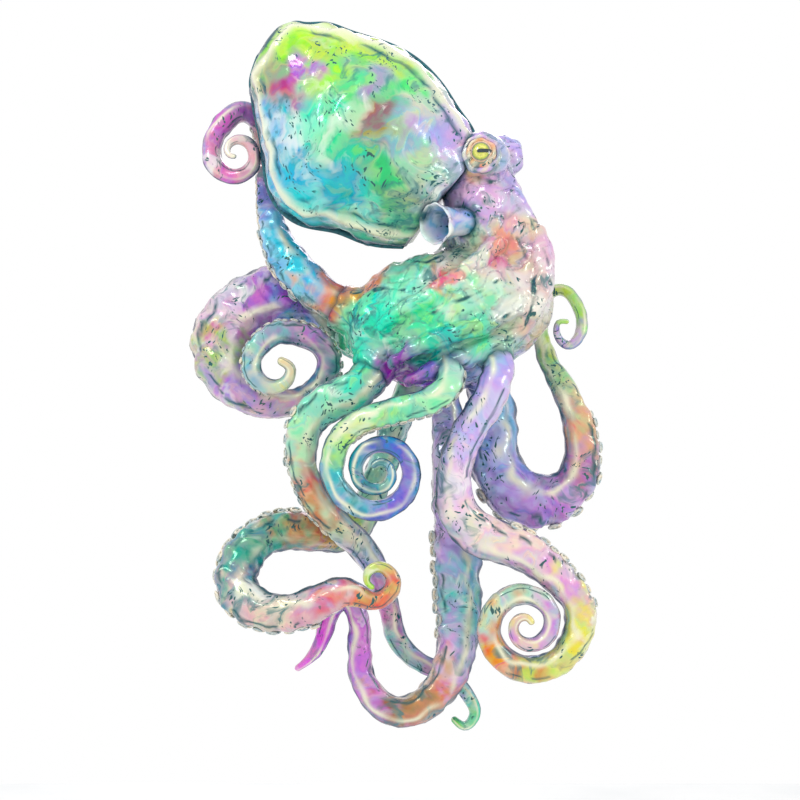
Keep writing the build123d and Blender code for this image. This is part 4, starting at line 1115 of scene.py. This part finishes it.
def make_siphon(film):
    """Flared siphon with a rolled lip and a hollow throat."""
    aim = Vector((-0.66, -0.70, -0.12)).normalized()
    start = at(0.034, -0.052, 0.186)
    profile = [(-0.02, 0.024), (0.0, 0.027), (0.02, 0.0275), (0.04, 0.0295), (0.06, 0.033), (0.075, 0.0368),
               (0.085, 0.0395), (0.0905, 0.0408), (0.0925, 0.0395), (0.0918, 0.0375), (0.085, 0.0355),
               (0.07, 0.0315), (0.05, 0.0265), (0.03, 0.0235), (0.01, 0.021), (-0.005, 0.012)]
    rings = lathe_rings(start, aim, profile, 64)
    piece = tube("siphon_skin", rings, True, True)
    face_outwards(piece)
    points = points_of(piece)
    along = (points - np.array(start)) @ np.array(aim)
    middle = np.array(start) + along[:, None] * np.array(aim)
    out = points - middle
    points = middle + out * (1 + 0.035 * waves(points, 0.03, 61))[:, None]
    set_points(piece, points)
    colours = np.tile(linear((205, 205, 240)), (len(points), 1))
    colours = mix(colours, (120, 190, 235), 0.5 + 0.5 * waves(points, 0.04, 62))
    colours = mix(colours, (250, 248, 245), np.exp(-(((along - 0.088) / 0.01) ** 2)))
    put_colour(piece, colours)
    piece.data.materials.append(film)
    return piece


# ---------------------------------------------------------------- painted crease shade
CREASE_WIDTH = 0.012
CREASE_AT_ARMS = 0.75  # painted crease shade between an arm and the crown is this much lighter


def paint_crease_shade(pieces, width=CREASE_WIDTH):
    """Painted crease shade: dark shading values where one piece of film meets or passes close to another."""
    trees = []
    for piece in pieces:
        faces = [tuple(face.vertices) for face in piece.data.polygons]
        trees.append(BVHTree.FromPolygons([v.co for v in piece.data.vertices], faces))
    for index, piece in enumerate(pieces):
        values = np.zeros(len(piece.data.vertices))
        family = piece.name.split("_")[1] if piece.name.startswith("arm_") else piece.name
        for other, tree in enumerate(trees):
            name = pieces[other].name
            if other == index or (name.startswith("arm_") and name.split("_")[1] == family):
                continue
            depth = CREASE_AT_ARMS if {piece.name[:3], name[:3]} == {"arm", "cro"} else 1.0
            for number, vertex in enumerate(piece.data.vertices):
                found = tree.find_nearest(vertex.co, width)
                if found[3] is not None:
                    values[number] = max(values[number], (1 - found[3] / width) * depth)
        put_value(piece, "crease", values)


# ---------------------------------------------------------------- making
bpy.context.scene.view_settings.view_transform = "Standard"
set_camera()
set_studio()
film = pearl_film()
cup_film = grained("cup_film", (150, 178, 186), (246, 232, 206), 45, 0.24, coat=0.5)
metal = grained("brushed_steel", (150, 154, 158), (206, 209, 212), 240, 0.28, 1.0, (1, 1, 14), 0.0003)
plastic = grained("moulded_nylon", (28, 66, 78), (44, 92, 104), 420, 0.42, bump=0.0004)
carbon = grained("carbon_rod", (18, 20, 22), (58, 61, 66), 600, 0.3, stretch=(1, 3, 1), bump=0.0003, coat=0.4)
cap_rubber = grained("cap_rubber", (40, 42, 46), (64, 66, 70), 300, 0.6, bump=0.0006)
valve_vinyl = grained("valve_vinyl", (208, 220, 222), (236, 242, 240), 150, 0.35, bump=0.0004, coat=0.3)
weld_tape = grained("weld_tape", (20, 74, 88), (44, 120, 130), 130, 0.6, bump=0.0008)
pupil_enamel = grained("pupil_enamel", (8, 26, 34), (20, 52, 60), 200, 0.15, coat=0.8)

node_finishes = {
    metal: ("tow_plate", "tow_bolts", "hinge_pins", "lug_screws"),
    plastic: ("crown_hub", "spar_elbow", "arm_lugs", "anchor_plates", *[name + "_collar" for name in arms]),
    carbon: ("neck_spar", "mantle_spar", "mantle_hoop"),
    cap_rubber: ("spar_end_cap",),
    valve_vinyl: ("inflation_valve",),
    pupil_enamel: ("near_pupil", "far_pupil"),
}
for finish, names in node_finishes.items():
    for name in names:
        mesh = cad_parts[name].data
        mesh.materials.clear()
        mesh.materials.append(finish)

film_pieces = []
cups = cup_tree()
for name in arms:
    pieces, start, end, cup_facts = make_arm(name, film)
    for piece, part in pieces:
        film_pieces.append(piece)
        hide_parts(name + "_skin")
        if part == "skin" and name in CURL_BACK:
            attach(piece, name)
        else:
            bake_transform(piece)
    row = make_cups(name, cup_facts, cups, cup_film)
    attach(row, name)
    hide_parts(name + "_suckers")

mantle, mantle_rings, mantle_across = make_mantle(film)
for strip in make_weld_tape(mantle_rings, mantle_across, weld_tape):
    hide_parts("mantle_rim")
    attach(strip, "body")
crown = make_crown(film)
siphon = make_siphon(film)
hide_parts("mantle_front_panel", "mantle_back_panel")
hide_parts("head_front_panel", "head_back_panel", "crown_front_panel", "crown_back_panel",
            "near_eye_mound", "far_eye_mound")
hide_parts("siphon")
film_pieces += [mantle, crown, siphon]
iris = eye_finish()
for label, mound, side in (("near", near_mound, -1), ("far", far_mound, 1)):
    ball, lids = make_eye(label, mound, side, iris, film)
    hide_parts(label + "_eye")
    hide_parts(label + "_eyelid")
    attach(ball, "body")
    for lid in lids:
        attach(lid, "body")
        put_value(lid, "crease", np.zeros(len(lid.data.vertices)))
for piece in (mantle, crown, siphon):
    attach(piece, "body")
paint_crease_shade(film_pieces)
